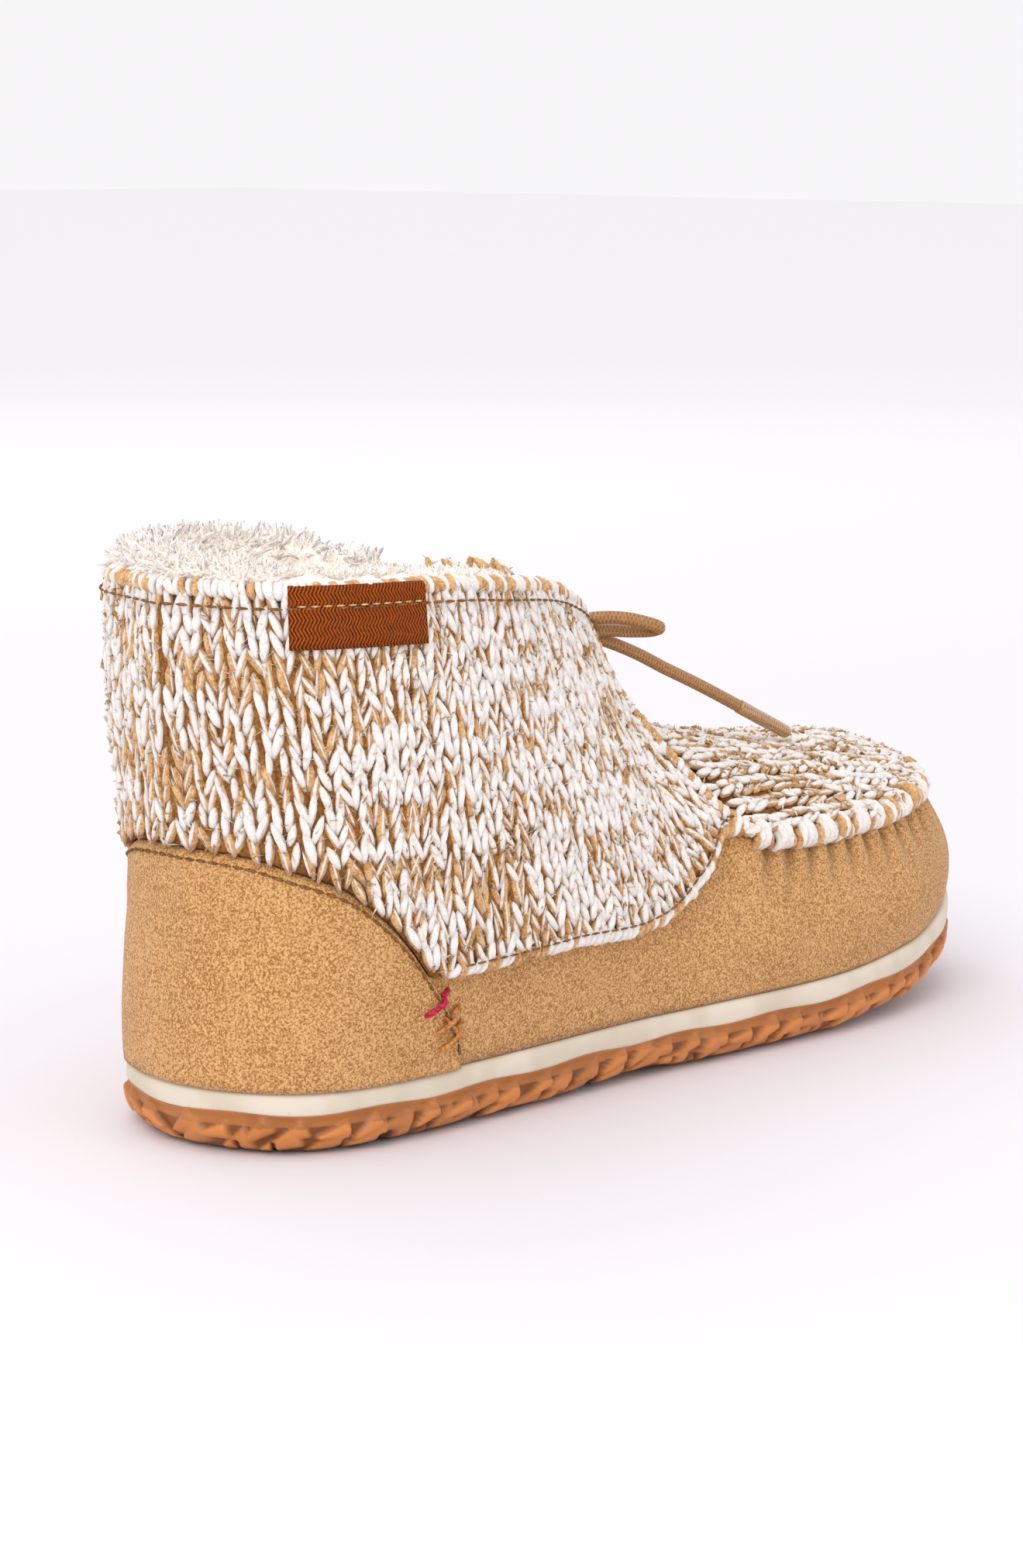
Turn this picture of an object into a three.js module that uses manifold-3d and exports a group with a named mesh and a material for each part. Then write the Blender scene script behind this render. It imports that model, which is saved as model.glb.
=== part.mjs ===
// Slipper boot, right shoe: knit shaft and apron over a suede body, fleece lining, moulded rubber sole.
// Millimetres. X runs from heel to toe, -Y is the lateral side, +Z is up, the floor is at Z = 0.
// Shapes are modelled from the back of the heel, and the whole boot is then centred on its own box.
import * as THREE from 'three';
import { mergeVertices } from 'three/addons/utils/BufferGeometryUtils.js';
import Module from 'manifold-3d';

const wasm = await Module();
wasm.setup();

// Driving sizes of the last
const lastLength = 257;
const ballWidth = 87;
const rimHeight = 117.5;
const crestHeight = 62;
const toeSpring = 14;
const springStart = 0.6;

// Sole
const outsoleThickness = 8.8;
const midsoleThickness = 4.6;
const soleLip = 1.3;
const outsoleInset = 3.6;
const archRise = 1.2;
const waveHeight = 0.9;
const wavePitch = 31;
const lugPitch = 15.5;
const lugLength = 13;
const lugHeight = 4.6;
const lugDepth = 5;
const insoleThickness = 4;

// Walls and overlays
const upperWall = 2;
const knitThickness = 3.3;
const counterThickness = 1.6;
const counterLength = 47.5;
const counterHeight = 49.2;
const plugThickness = 3.4;
const tongueThickness = 3.2;
const tongueLining = 4.6;
const tongueFleeceRise = 4;
const labelThickness = 0.7;
const labelDrop = 11.5;
const labelStart = 8.2;
const labelEnd = 35;
const gap = 0.4;

// Fleece
const fleeceThickness = 6.5;
const fleeceDepth = 36;
const fleeceRise = 5.6;
const lateralFleeceRise = 2.6;
const lockPitch = 5.2;
const lockLength = 8.5;

// Seam of the apron
const pleatPitch = 7.6;
const pleatWidth = 7.4;
const pleatHeight = 6.4;
const pleatDepth = 5;

// Lace
const laceDiameter = 3;
const agletLength = 21;
const agletDiameter = 3.4;

const soleTop = outsoleThickness + midsoleThickness;
const featherGap = 0.3;
const featherBase = soleTop + featherGap;

// Feather outline: station along the length, lateral and medial half widths as shares of the ball width
const planTable = [
  { t: 0, lateral: 0, medial: 0 },
  { t: 0.01, lateral: 0.145, medial: 0.148 },
  { t: 0.03, lateral: 0.248, medial: 0.252 },
  { t: 0.07, lateral: 0.335, medial: 0.345 },
  { t: 0.12, lateral: 0.377, medial: 0.392 },
  { t: 0.18, lateral: 0.395, medial: 0.408 },
  { t: 0.28, lateral: 0.411, medial: 0.396 },
  { t: 0.4, lateral: 0.423, medial: 0.37 },
  { t: 0.52, lateral: 0.462, medial: 0.405 },
  { t: 0.62, lateral: 0.495, medial: 0.456 },
  { t: 0.7, lateral: 0.515, medial: 0.48 },
  { t: 0.78, lateral: 0.505, medial: 0.475 },
  { t: 0.86, lateral: 0.442, medial: 0.43 },
  { t: 0.92, lateral: 0.345, medial: 0.36 },
  { t: 0.96, lateral: 0.235, medial: 0.278 },
  { t: 0.985, lateral: 0.125, medial: 0.195 },
  { t: 1, lateral: -0.075, medial: 0.075 },
];

// Upper edge of the wall: station, place along the length, breadth as a share of the outline's, height
// as a share of the rim's. It runs from the back of the rim to the flap's corner, down the flap's front
// edge and then along the apron's seam to the toe.
const edgeTable = [
  { t: 0, along: -0.004, breadth: 0.94, height: 1 },
  { t: 0.03, along: 0.022, breadth: 0.95, height: 1 },
  { t: 0.1, along: 0.093, breadth: 0.975, height: 0.998 },
  { t: 0.18, along: 0.171, breadth: 0.96, height: 0.991 },
  { t: 0.25, along: 0.241, breadth: 0.885, height: 0.974 },
  { t: 0.32, along: 0.319, breadth: 0.71, height: 0.949 },
  { t: 0.38, along: 0.381, breadth: 0.52, height: 0.912 },
  { t: 0.42, along: 0.42, breadth: 0.395, height: 0.872 },
  { t: 0.445, along: 0.441, breadth: 0.345, height: 0.815 },
  { t: 0.475, along: 0.463, breadth: 0.37, height: 0.73 },
  { t: 0.505, along: 0.489, breadth: 0.475, height: 0.64 },
  { t: 0.54, along: 0.518, breadth: 0.61, height: 0.55 },
  { t: 0.575, along: 0.549, breadth: 0.76, height: 0.462 },
  { t: 0.605, along: 0.582, breadth: 0.845, height: 0.415 },
  { t: 0.65, along: 0.635, breadth: 0.855, height: 0.4 },
  { t: 0.7, along: 0.69, breadth: 0.84, height: 0.397 },
  { t: 0.78, along: 0.768, breadth: 0.815, height: 0.398 },
  { t: 0.86, along: 0.845, breadth: 0.81, height: 0.403 },
  { t: 0.92, along: 0.9, breadth: 0.81, height: 0.411 },
  { t: 0.96, along: 0.934, breadth: 0.79, height: 0.42 },
  { t: 0.985, along: 0.954, breadth: 0.78, height: 0.427 },
  { t: 1, along: 0.966, breadth: 0.85, height: 0.433 },
];

// How far the wall swells out of the straight line between its two edges, as a share of the ball width
const swellTable = [
  { t: 0, swell: 0.012 },
  { t: 0.1, swell: 0.02 },
  { t: 0.2, swell: 0.03 },
  { t: 0.3, swell: 0.055 },
  { t: 0.4, swell: 0.085 },
  { t: 0.5, swell: 0.08 },
  { t: 0.58, swell: 0.055 },
  { t: 0.65, swell: 0.046 },
  { t: 0.8, swell: 0.05 },
  { t: 1, swell: 0.055 },
];
const heelHollow = 4.4;
const hollowReach = 0.16;

// Top edge of the counter: shares of its length and of its height above the sole
const counterTable = [
  { along: 0, height: 1 },
  { along: 0.1, height: 0.98 },
  { along: 0.2, height: 0.94 },
  { along: 0.32, height: 0.89 },
  { along: 0.42, height: 0.84 },
  { along: 0.51, height: 0.77 },
  { along: 0.63, height: 0.655 },
  { along: 0.72, height: 0.55 },
  { along: 0.8, height: 0.44 },
  { along: 0.9, height: 0.295 },
  { along: 0.97, height: 0.16 },
  { along: 1, height: 0.04 },
];

// Lower edge of the knit flap in front of the counter: shares of the last's length and of the rim's height
const flapTable = [
  { along: 0, height: 0.292 },
  { along: 0.22, height: 0.298 },
  { along: 0.31, height: 0.303 },
  { along: 0.39, height: 0.296 },
  { along: 0.435, height: 0.302 },
  { along: 0.48, height: 0.333 },
  { along: 0.515, height: 0.372 },
  { along: 0.549, height: 0.418 },
  { along: 0.57, height: 0.432 },
];
const flapEnd = 0.59;

// Middle line of the apron from the instep to the toe: shares of the length and of the crest's height
const crestTable = [
  { along: 0.5, height: 1.27 },
  { along: 0.54, height: 1.2 },
  { along: 0.6, height: 1.13 },
  { along: 0.66, height: 1.075 },
  { along: 0.74, height: 1.03 },
  { along: 0.82, height: 1 },
  { along: 0.88, height: 0.965 },
  { along: 0.93, height: 0.9 },
];

// Tongue, from the apron up: place along the length, height as a share of the rim's, and half width,
// backward bend and sag of its sides as shares of the ball width
const tongueTable = [
  { row: 0, along: 0.52, height: 0.648, width: 0.192, bend: 0.034, sag: 0.126 },
  { row: 0.2, along: 0.484, height: 0.706, width: 0.186, bend: 0.092, sag: 0.08 },
  { row: 0.4, along: 0.459, height: 0.768, width: 0.18, bend: 0.138, sag: 0.046 },
  { row: 0.6, along: 0.434, height: 0.83, width: 0.18, bend: 0.15, sag: 0.034 },
  { row: 0.8, along: 0.41, height: 0.894, width: 0.178, bend: 0.15, sag: 0.023 },
  { row: 1, along: 0.387, height: 0.953, width: 0.172, bend: 0.138, sag: 0.023 },
];

const across = (t) => Math.acos(1 - 2 * t) / Math.PI;
const clamp = (x, low, high) => Math.min(high, Math.max(low, x));

// A smooth curve through the rows of a table that never overshoots them
function curve(xs, ys) {
  const n = xs.length;
  const h = xs.slice(1).map((x, i) => x - xs[i]);
  const d = h.map((step, i) => (ys[i + 1] - ys[i]) / step);
  const m = new Array(n).fill(0);
  m[0] = d[0];
  m[n - 1] = d[n - 2];
  for (let i = 1; i < n - 1; i++) {
    if (d[i - 1] * d[i] > 0) {
      const a = 2 * h[i] + h[i - 1];
      const b = h[i] + 2 * h[i - 1];
      m[i] = (a + b) / (a / d[i - 1] + b / d[i]);
    }
  }
  return (x) => {
    const u = clamp(x, xs[0], xs[n - 1]);
    let i = 0;
    while (i < n - 2 && u > xs[i + 1]) i++;
    const s = (u - xs[i]) / h[i];
    const s2 = s * s;
    const s3 = s2 * s;
    const ends = (2 * s3 - 3 * s2 + 1) * ys[i] + (3 * s2 - 2 * s3) * ys[i + 1];
    return ends + h[i] * ((s3 - 2 * s2 + s) * m[i] + (s3 - s2) * m[i + 1]);
  };
}

const column = (table, key) => table.map((row) => row[key]);
const byStation = (table, key) => curve(column(table, 't').map(across), column(table, key));
const byLength = (table, key) => curve(column(table, 'along'), column(table, key));

const lateralHalf = byStation(planTable, 'lateral');
const medialHalf = byStation(planTable, 'medial');
const edgeAlong = byStation(edgeTable, 'along');
const edgeBreadth = byStation(edgeTable, 'breadth');
const edgeHeight = byStation(edgeTable, 'height');
const swell = byStation(swellTable, 'swell');
const counterTop = byLength(counterTable, 'height');
const flapBottom = byLength(flapTable, 'height');
const crest = byLength(crestTable, 'height');

// The loop coordinate w is 0 at the back of the heel, -1 to 0 along the lateral side from the toe and
// 0 to 1 along the medial side to the toe
const wrap = (w) => (w > 1 ? w - 2 : w < -1 ? w + 2 : w);
const station = (w) => (1 - Math.cos(Math.PI * Math.abs(wrap(w)))) / 2;

function halfWidth(w) {
  const k = Math.abs(wrap(w));
  return ballWidth * (wrap(w) < 0 ? -lateralHalf(k) : medialHalf(k));
}

function spring(x) {
  const rise = clamp((x / lastLength - springStart) / (1 - springStart), 0, 1);
  return toeSpring * rise * rise;
}

function featherPoint(w) {
  const x = lastLength * station(w);
  return new THREE.Vector3(x, halfWidth(w), featherBase + spring(x));
}

function outward(w) {
  const step = 0.004;
  const a = featherPoint(w - step);
  const b = featherPoint(w + step);
  return new THREE.Vector3(-(b.y - a.y), b.x - a.x, 0).normalize();
}

function edgePoint(w) {
  const k = Math.abs(wrap(w));
  const x = lastLength * edgeAlong(k);
  return new THREE.Vector3(x, halfWidth(w) * edgeBreadth(k), rimHeight * edgeHeight(k));
}

// The outer face of the upper, from the feather line (v = 0) to its upper edge (v = 1)
function last(w, v) {
  const k = Math.abs(wrap(w));
  const hollow = heelHollow * Math.max(0, 1 - station(w) / hollowReach);
  const out = ballWidth * swell(k) * Math.sin(Math.PI * clamp(v, 0, 1) ** 0.85)
    - hollow * Math.sin(Math.PI * clamp(v / 0.88, 0, 1)) ** 2;
  return featherPoint(w).lerp(edgePoint(w), v).addScaledVector(outward(w), out);
}

function lastNormal(w, v) {
  const step = 0.004;
  const middle = clamp(v, step, 1 - step);
  const low = middle - step;
  const high = middle + step;
  const along = last(w + step, v).sub(last(w - step, v));
  const up = last(w, high).sub(last(w, low));
  return up.cross(along).normalize();
}

const skin = (w, v, offset) => last(w, v).addScaledVector(lastNormal(w, v), offset);

// A point beside the rim: offset along the level outward direction and raised by rise
function besideEdge(w, offset, rise) {
  const n = lastNormal(w, 1);
  n.z = 0;
  return last(w, 1).addScaledVector(n.normalize(), offset).add(new THREE.Vector3(0, 0, rise));
}

const shareAtHeight = (w, z) => (z - featherPoint(w).z) / (edgePoint(w).z - featherPoint(w).z);

// Loop coordinate, on the medial side, at which the upper edge reaches a place along the length
function loopAtEdge(x) {
  let low = 0;
  let high = across(0.42);
  for (let i = 0; i < 40; i++) {
    const middle = (low + high) / 2;
    if (lastLength * edgeAlong(middle) < x) low = middle;
    else high = middle;
  }
  return low;
}

// Evenly numbered columns of the loop, so that neighbours share their facets
const loopColumns = 64;
function columnsBetween(from, to) {
  const list = [from];
  for (let i = -loopColumns / 2; i <= loopColumns / 2; i++) {
    const w = (2 * i) / loopColumns;
    if (w > from + 0.006 && w < to - 0.006) list.push(w);
  }
  list.push(to);
  return list;
}

// Closed body from quads of points: equal points are merged and flat leftovers dropped
function bodyFromQuads(quads) {
  const positions = [];
  for (const [a, b, c, d] of quads) {
    for (const p of [a, b, c, a, c, d]) positions.push(p.x, p.y, p.z);
  }
  const soup = new THREE.BufferGeometry();
  soup.setAttribute('position', new THREE.Float32BufferAttribute(positions, 3));
  return solidOf(soup);
}

function solidOf(geometry) {
  const bare = geometry.clone();
  bare.deleteAttribute('normal');
  bare.deleteAttribute('uv');
  const merged = mergeVertices(bare, 1e-4);
  const index = merged.index.array;
  const faces = [];
  for (let i = 0; i < index.length; i += 3) {
    const [a, b, c] = [index[i], index[i + 1], index[i + 2]];
    if (a !== b && b !== c && c !== a) faces.push(a, b, c);
  }
  const vertices = new Float32Array(merged.attributes.position.array);
  let triangles = new Uint32Array(faces);
  if (volumeOf(vertices, triangles) < 0) {
    for (let i = 0; i < faces.length; i += 3) [faces[i], faces[i + 1]] = [faces[i + 1], faces[i]];
    triangles = new Uint32Array(faces);
  }
  return new wasm.Manifold(new wasm.Mesh({ numProp: 3, vertProperties: vertices, triVerts: triangles }));
}

function volumeOf(vertices, triangles) {
  const at = (i) => new THREE.Vector3().fromArray(vertices, 3 * i);
  let sum = 0;
  for (let i = 0; i < triangles.length; i += 3) {
    sum += at(triangles[i]).dot(at(triangles[i + 1]).cross(at(triangles[i + 2])));
  }
  return sum / 6;
}

// A tube-like body: rings of points, joined ring to ring and closed at both ends or into a loop
function bodyFromRings(rings, closed) {
  const quads = [];
  const count = rings[0].length;
  const spans = closed ? rings.length : rings.length - 1;
  for (let i = 0; i < spans; i++) {
    const a = rings[i];
    const b = rings[(i + 1) % rings.length];
    for (let j = 0; j < count; j++) {
      const n = (j + 1) % count;
      quads.push([a[j], b[j], b[n], a[n]]);
    }
  }
  if (!closed) {
    quads.push(...endCap(rings[0], false), ...endCap(rings[rings.length - 1], true));
  }
  return bodyFromQuads(quads);
}

// The section of a wall lists its outer points and then its inner ones back, so a cap joins them in pairs
function endCap(ring, flip) {
  const quads = [];
  const half = ring.length / 2;
  for (let j = 0; j < half - 1; j++) {
    const quad = [ring[j], ring[j + 1], ring[ring.length - 2 - j], ring[ring.length - 1 - j]];
    quads.push(flip ? quad.reverse() : quad);
  }
  return quads;
}

// Wall between two offsets of the last, over columns, with its lower and upper shares given per column.
// Its thickness may taper towards its free edges.
function wall(columns, closed, rows, low, high, inner, outer) {
  const rings = columns.map((w) => {
    const share = (j) => low(w) + ((high(w) - low(w)) * j) / (rows - 1);
    const ring = [];
    for (let j = 0; j < rows; j++) ring.push(skin(w, share(j), outer(w, j / (rows - 1))));
    for (let j = rows - 1; j >= 0; j--) ring.push(skin(w, share(j), inner));
    return ring;
  });
  return bodyFromRings(rings, closed);
}

const upperRows = 7;
const loop = Array.from({ length: loopColumns }, (_, i) => -1 + (2 * i) / loopColumns);

// Sole: rings of points around the outline, closed above and below from side to side
function outlinePoint(w, offset, z) {
  const p = featherPoint(w).addScaledVector(outward(w), offset);
  p.z = z;
  return p;
}

function slab(levels) {
  const rings = levels.map((level) => loop.map((w) => level(w)));
  const quads = [];
  for (let r = 0; r < rings.length - 1; r++) {
    for (let i = 0; i < loopColumns; i++) {
      const n = (i + 1) % loopColumns;
      quads.push([rings[r][i], rings[r][n], rings[r + 1][n], rings[r + 1][i]]);
    }
  }
  for (let i = 0; i < loopColumns / 2; i++) {
    const mirror = (j) => (loopColumns - j) % loopColumns;
    const bottom = rings[0];
    const top = rings[rings.length - 1];
    quads.push([bottom[i], bottom[mirror(i)], bottom[mirror(i + 1)], bottom[i + 1]]);
    quads.push([top[i], top[i + 1], top[mirror(i + 1)], top[mirror(i)]]);
  }
  return bodyFromQuads(quads);
}

// Length run around the outline up to a loop coordinate, for what repeats along the edge
const runSteps = 720;
const runTable = [0];
for (let i = 1; i <= runSteps; i++) {
  const a = featherPoint(-1 + (2 * (i - 1)) / runSteps);
  const b = featherPoint(-1 + (2 * i) / runSteps);
  runTable.push(runTable[i - 1] + Math.hypot(b.x - a.x, b.y - a.y));
}
const outlineRun = runTable[runSteps];
const runAt = (w) => runTable[Math.round(clamp((wrap(w) + 1) / 2, 0, 1) * runSteps)];

function loopAtRun(run) {
  let i = 1;
  while (i < runSteps && runTable[i] < run) i++;
  const share = (run - runTable[i - 1]) / (runTable[i] - runTable[i - 1]);
  return -1 + (2 * (i - 1 + share)) / runSteps;
}

function archLift(x) {
  const share = clamp((x / lastLength - 0.34) / 0.16, 0, 1);
  return archRise * Math.sin(Math.PI * share) ** 2;
}

// The gum rubber rises in low waves into the foam
function waveAt(w) {
  const count = Math.round(outlineRun / wavePitch);
  return waveHeight * Math.sin((2 * Math.PI * count * runAt(w)) / outlineRun);
}

const soleRise = (w) => spring(lastLength * station(w));
const treadHeight = (w) => soleRise(w) + archLift(lastLength * station(w));

function outsole() {
  const rim = (w) => outsoleThickness + waveAt(w) - 0.15 + soleRise(w);
  const body = slab([
    (w) => outlinePoint(w, -outsoleInset, treadHeight(w)),
    (w) => outlinePoint(w, -outsoleInset * 0.45, treadHeight(w) + outsoleThickness * 0.16),
    (w) => outlinePoint(w, soleLip * 0.1, soleRise(w) + outsoleThickness * 0.5),
    (w) => outlinePoint(w, soleLip * 0.9, rim(w)),
  ]);
  return body.add(lugRow(0.31, 0, -0.42)).add(lugRow(0.44, 0.5, -0.5));
}

// A row of leaf-shaped lugs around the side of the outsole
function lugRow(level, shift, slant) {
  const count = Math.round(outlineRun / lugPitch);
  const lugs = [];
  for (let i = 0; i < count; i++) {
    const w = loopAtRun((outlineRun * (i + shift)) / count);
    const z = treadHeight(w) + outsoleThickness * level;
    const place = outlinePoint(w, -outsoleInset * (1 - level) ** 2 * 0.62, z);
    const leaf = new THREE.OctahedronGeometry(1, 0);
    leaf.scale(lugLength / 2, lugDepth / 2, lugHeight / 2);
    const n = outward(w);
    const turn = Math.atan2(n.y, n.x) + Math.PI / 2;
    const heading = n.y < 0 ? slant : -slant;
    leaf.rotateY(heading);
    leaf.rotateZ(turn);
    leaf.translate(place.x, place.y, place.z);
    lugs.push(solidOf(leaf));
  }
  return lugs.reduce((all, lug) => all.add(lug));
}

function midsole() {
  const base = (w) => outsoleThickness + waveAt(w) + 0.15 + soleRise(w);
  return slab([
    (w) => outlinePoint(w, soleLip * 0.8, base(w)),
    (w) => outlinePoint(w, soleLip * 1.1, base(w) + midsoleThickness * 0.3),
    (w) => outlinePoint(w, soleLip, soleTop - midsoleThickness * 0.22 + soleRise(w)),
    (w) => outlinePoint(w, soleLip * 0.55, soleTop + soleRise(w)),
  ]);
}

function insole() {
  const inset = upperWall + gap;
  const bottom = (w) => featherBase + soleRise(w);
  return slab([
    (w) => outlinePoint(w, -inset, bottom(w)),
    (w) => outlinePoint(w, -inset, bottom(w) + insoleThickness * 0.7),
    (w) => outlinePoint(w, -inset - 1.5, bottom(w) + insoleThickness),
  ]);
}

function upper() {
  return wall(loop, true, upperRows, () => 0, () => 1, -upperWall, () => 0);
}

const counterEdge = (x) => featherBase + counterHeight * counterTop(x / counterLength);

function counter() {
  const end = across(counterLength / lastLength);
  const high = (w) => shareAtHeight(w, counterEdge(lastLength * station(w)));
  const outer = (w, s) => gap + counterThickness * (s > 0.99 ? 0.7 : 1);
  return wall(columnsBetween(-end, end), false, 7, () => 0, high, gap, outer);
}

// The knit shaft with its two flaps, above the counter and over the suede
const knitSeat = gap * 1.6;
function knitBottom(w) {
  const x = lastLength * station(w);
  const seat = x < counterLength ? counterEdge(x) + gap : 0;
  return shareAtHeight(w, Math.max(seat, rimHeight * flapBottom(x / lastLength)));
}

function knitShaft() {
  const end = across(flapEnd);
  const edge = (s) => Math.min(1, 0.55 + 9 * Math.min(s, 1 - s));
  const outer = (w, s) => knitSeat + knitThickness * edge(s);
  const low = (w) => Math.min(knitBottom(w), 0.97);
  return wall(columnsBetween(-end, end), false, 8, low, () => 1, knitSeat, outer);
}

// Closed ring that follows the rim, with a section given by offsets and rises
function rimStrip(columns, section) {
  const place = (w, offset, rise) => (rise > 0
    ? besideEdge(w, offset, rise)
    : skin(w, shareAtHeight(w, edgePoint(w).z + rise), offset));
  return bodyFromRings(columns.map((w) => section(w).map(([offset, rise]) => place(w, offset, rise))), false);
}

const fleeceEnd = across(0.325);

// The roll is pressed lower along the lateral side than at the heel and on the medial side
function fleeceTop(w) {
  const lateral = THREE.MathUtils.smoothstep(-w, 0, fleeceEnd * 0.5);
  return THREE.MathUtils.lerp(fleeceRise, lateralFleeceRise, lateral);
}

function fleeceSection(w) {
  const back = -upperWall - gap * 1.8;
  const inside = back - fleeceThickness;
  const settle = clamp((fleeceEnd - Math.abs(w)) / 0.05, 0.35, 1);
  const top = fleeceTop(w) * settle;
  return [
    [back, -fleeceDepth],
    [back, -fleeceDepth * 0.72],
    [back, -fleeceDepth * 0.45],
    [back, -fleeceDepth * 0.2],
    [back, gap],
    [gap, gap * 2.4],
    [gap + 1, top * 0.55],
    [back + 0.5, top * 0.95],
    [inside + 1.6, top],
    [inside - 0.4, top * 0.3],
    [inside - 0.4, 0],
    [inside - 0.6, -fleeceDepth * 0.25],
    [inside, -fleeceDepth * 0.6],
    [inside + 2, -fleeceDepth],
  ];
}

function fleeceCollar() {
  const columns = columnsBetween(-fleeceEnd, fleeceEnd);
  const ring = rimStrip(columns, fleeceSection);
  const step = lockPitch / (lastLength * 0.5);
  const locks = [];
  for (let w = -fleeceEnd + step, i = 0; w < fleeceEnd - step / 2; w += step * 0.5, i++) {
    const lean = [-0.5, 0.35, -0.15, 0.6][i % 4];
    const depth = [0.49, 0.86, 0.29, 1.14][i % 4];
    const size = [1, 0.82, 0.92, 0.75][(i * 3) % 4];
    const share = fleeceTop(w) / fleeceRise;
    const root = besideEdge(w, -fleeceThickness * depth, fleeceTop(w) * 0.75);
    locks.push(lock(root, outward(w), lean, lockLength * size * share));
  }
  return locks.reduce((all, one) => all.add(one), ring);
}

// One curl of fleece: a leaning drop that ends in a blunt point
function lock(place, out, lean, length) {
  const drop = new THREE.ConeGeometry(length * 0.42, length, 5, 1);
  drop.rotateX(Math.PI / 2);
  const tilt = new THREE.Quaternion().setFromUnitVectors(
    new THREE.Vector3(0, 0, 1),
    new THREE.Vector3(out.x * lean, out.y * lean, 1).normalize(),
  );
  drop.applyQuaternion(tilt);
  drop.translate(place.x, place.y, place.z + length * 0.18);
  return solidOf(drop);
}

const labelFrom = -loopAtEdge(labelEnd);
const labelTo = -loopAtEdge(labelStart);

function label() {
  const face = gap + knitThickness + gap;
  const section = () => [
    [face + labelThickness, -labelDrop],
    [face + labelThickness, -labelDrop * 0.5],
    [face + labelThickness, gap + labelThickness],
    [gap * 4.5, gap + labelThickness],
    [gap * 4.5, gap],
    [face, gap],
    [face, -labelDrop * 0.5],
    [face, -labelDrop],
  ];
  return rimStrip(columnsBetween(labelFrom, labelTo), section);
}

const seatRise = 0.012;

// Apron: columns run from its middle line out to the seam, and the two sides share the middle line
const plugBack = 0.545;
const plugToe = 0.9;
const pleatStart = 0.595;

function plugMiddle(w) {
  const start = across(plugBack);
  const share = clamp((Math.abs(wrap(w)) - start) / (1 - start), 0, 1);
  const x = lastLength * THREE.MathUtils.lerp(plugBackX, plugToe, share ** 1.15);
  return new THREE.Vector3(x, ballWidth * 0.02 * share, crestHeight * crest(x / lastLength));
}
const plugBackX = edgeAlong(across(plugBack));

function plugPoint(w, r, drop) {
  const inner = plugMiddle(w);
  const tuck = clamp((station(w) - pleatStart) / 0.03 + 0.7, 0, 1);
  const rim = edgePoint(w).addScaledVector(outward(w), THREE.MathUtils.lerp(-upperWall - 3 * gap - 1, 0.6, tuck));
  rim.z += THREE.MathUtils.lerp(-3, gap + plugThickness * 0.9, tuck);
  const p = inner.clone().lerp(rim, r);
  p.z = rim.z + (inner.z - rim.z) * (1 - r ** 1.9) - drop;
  return p;
}

function apron() {
  const start = across(plugBack);
  const columns = loop.filter((w) => Math.abs(w) > start + 0.01);
  const order = [...columns.filter((w) => w > 0), ...columns.filter((w) => w < 0)];
  const list = [start, ...order, -start];
  const rows = 5;
  const rings = list.map((w) => {
    const ring = [];
    for (let j = 0; j < rows; j++) ring.push(plugPoint(w, j / (rows - 1), 0));
    for (let j = rows - 1; j >= 0; j--) ring.push(plugPoint(w, j / (rows - 1), plugThickness));
    return ring;
  });
  const quads = [];
  for (let i = 0; i < rings.length - 1; i++) {
    for (let j = 0; j < 2 * rows - 1; j++) {
      quads.push([rings[i][j], rings[i + 1][j], rings[i + 1][j + 1], rings[i][j + 1]]);
    }
  }
  quads.push(...endCap(rings[0], false), ...endCap(rings[rings.length - 1], true));
  const sheet = bodyFromQuads(quads);
  const pleats = seamPleats(across(pleatStart));
  const seat = wall(loop, true, 2, () => 1 - 1 / (upperRows - 1), () => 1 + seatRise, -upperWall - gap, () => gap);
  return sheet.add(pleats).subtract(seat);
}

// Gathers of the apron's edge, folded over the seam
function seamPleats(start) {
  const pleats = [];
  let run = 0;
  let previous = edgePoint(-1);
  const steps = 900;
  let next = pleatPitch / 2;
  for (let i = 1; i <= steps; i++) {
    const w = -1 + (2 * i) / steps;
    const p = edgePoint(w);
    run += p.distanceTo(previous);
    previous = p;
    if (Math.abs(w) < start) {
      next = run + pleatPitch / 2;
    } else if (run >= next) {
      pleats.push(pleat(w));
      next += pleatPitch;
    }
  }
  return pleats.reduce((all, one) => all.add(one));
}

function pleat(w) {
  const n = outward(w);
  const p = edgePoint(w).addScaledVector(n, 0.9);
  const fold = new THREE.IcosahedronGeometry(1, 0);
  fold.scale(pleatWidth / 2, pleatDepth / 2, pleatHeight / 2);
  fold.rotateZ(Math.atan2(n.y, n.x) + Math.PI / 2);
  fold.translate(p.x, p.y, p.z + 0.9);
  return solidOf(fold);
}

// Tongue: rows up the instep, each bent back and down at its sides
const tongueCurve = (key) => curve(column(tongueTable, 'row'), column(tongueTable, key));
const tongueAlong = tongueCurve('along');
const tongueHeight = tongueCurve('height');
const tongueHalf = tongueCurve('width');
const tongueBend = tongueCurve('bend');
const tongueSag = tongueCurve('sag');

function tonguePoint(s, b, depth) {
  const step = 0.01;
  const at = (q) => new THREE.Vector3(lastLength * tongueAlong(q), 0, rimHeight * tongueHeight(q));
  const low = clamp(s, step, 1) - step;
  const up = at(low + step).sub(at(low)).normalize();
  const front = new THREE.Vector3(up.z, 0, -up.x);
  const p = at(s).addScaledVector(front, -depth);
  if (s > 1) p.addScaledVector(up, (s - 1) * tongueReach);
  p.y = b * ballWidth * tongueHalf(s);
  p.x -= ballWidth * tongueBend(s) * b * b;
  p.z -= ballWidth * tongueSag(s) * b * b;
  return p;
}

const tongueReach = 47;

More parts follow.
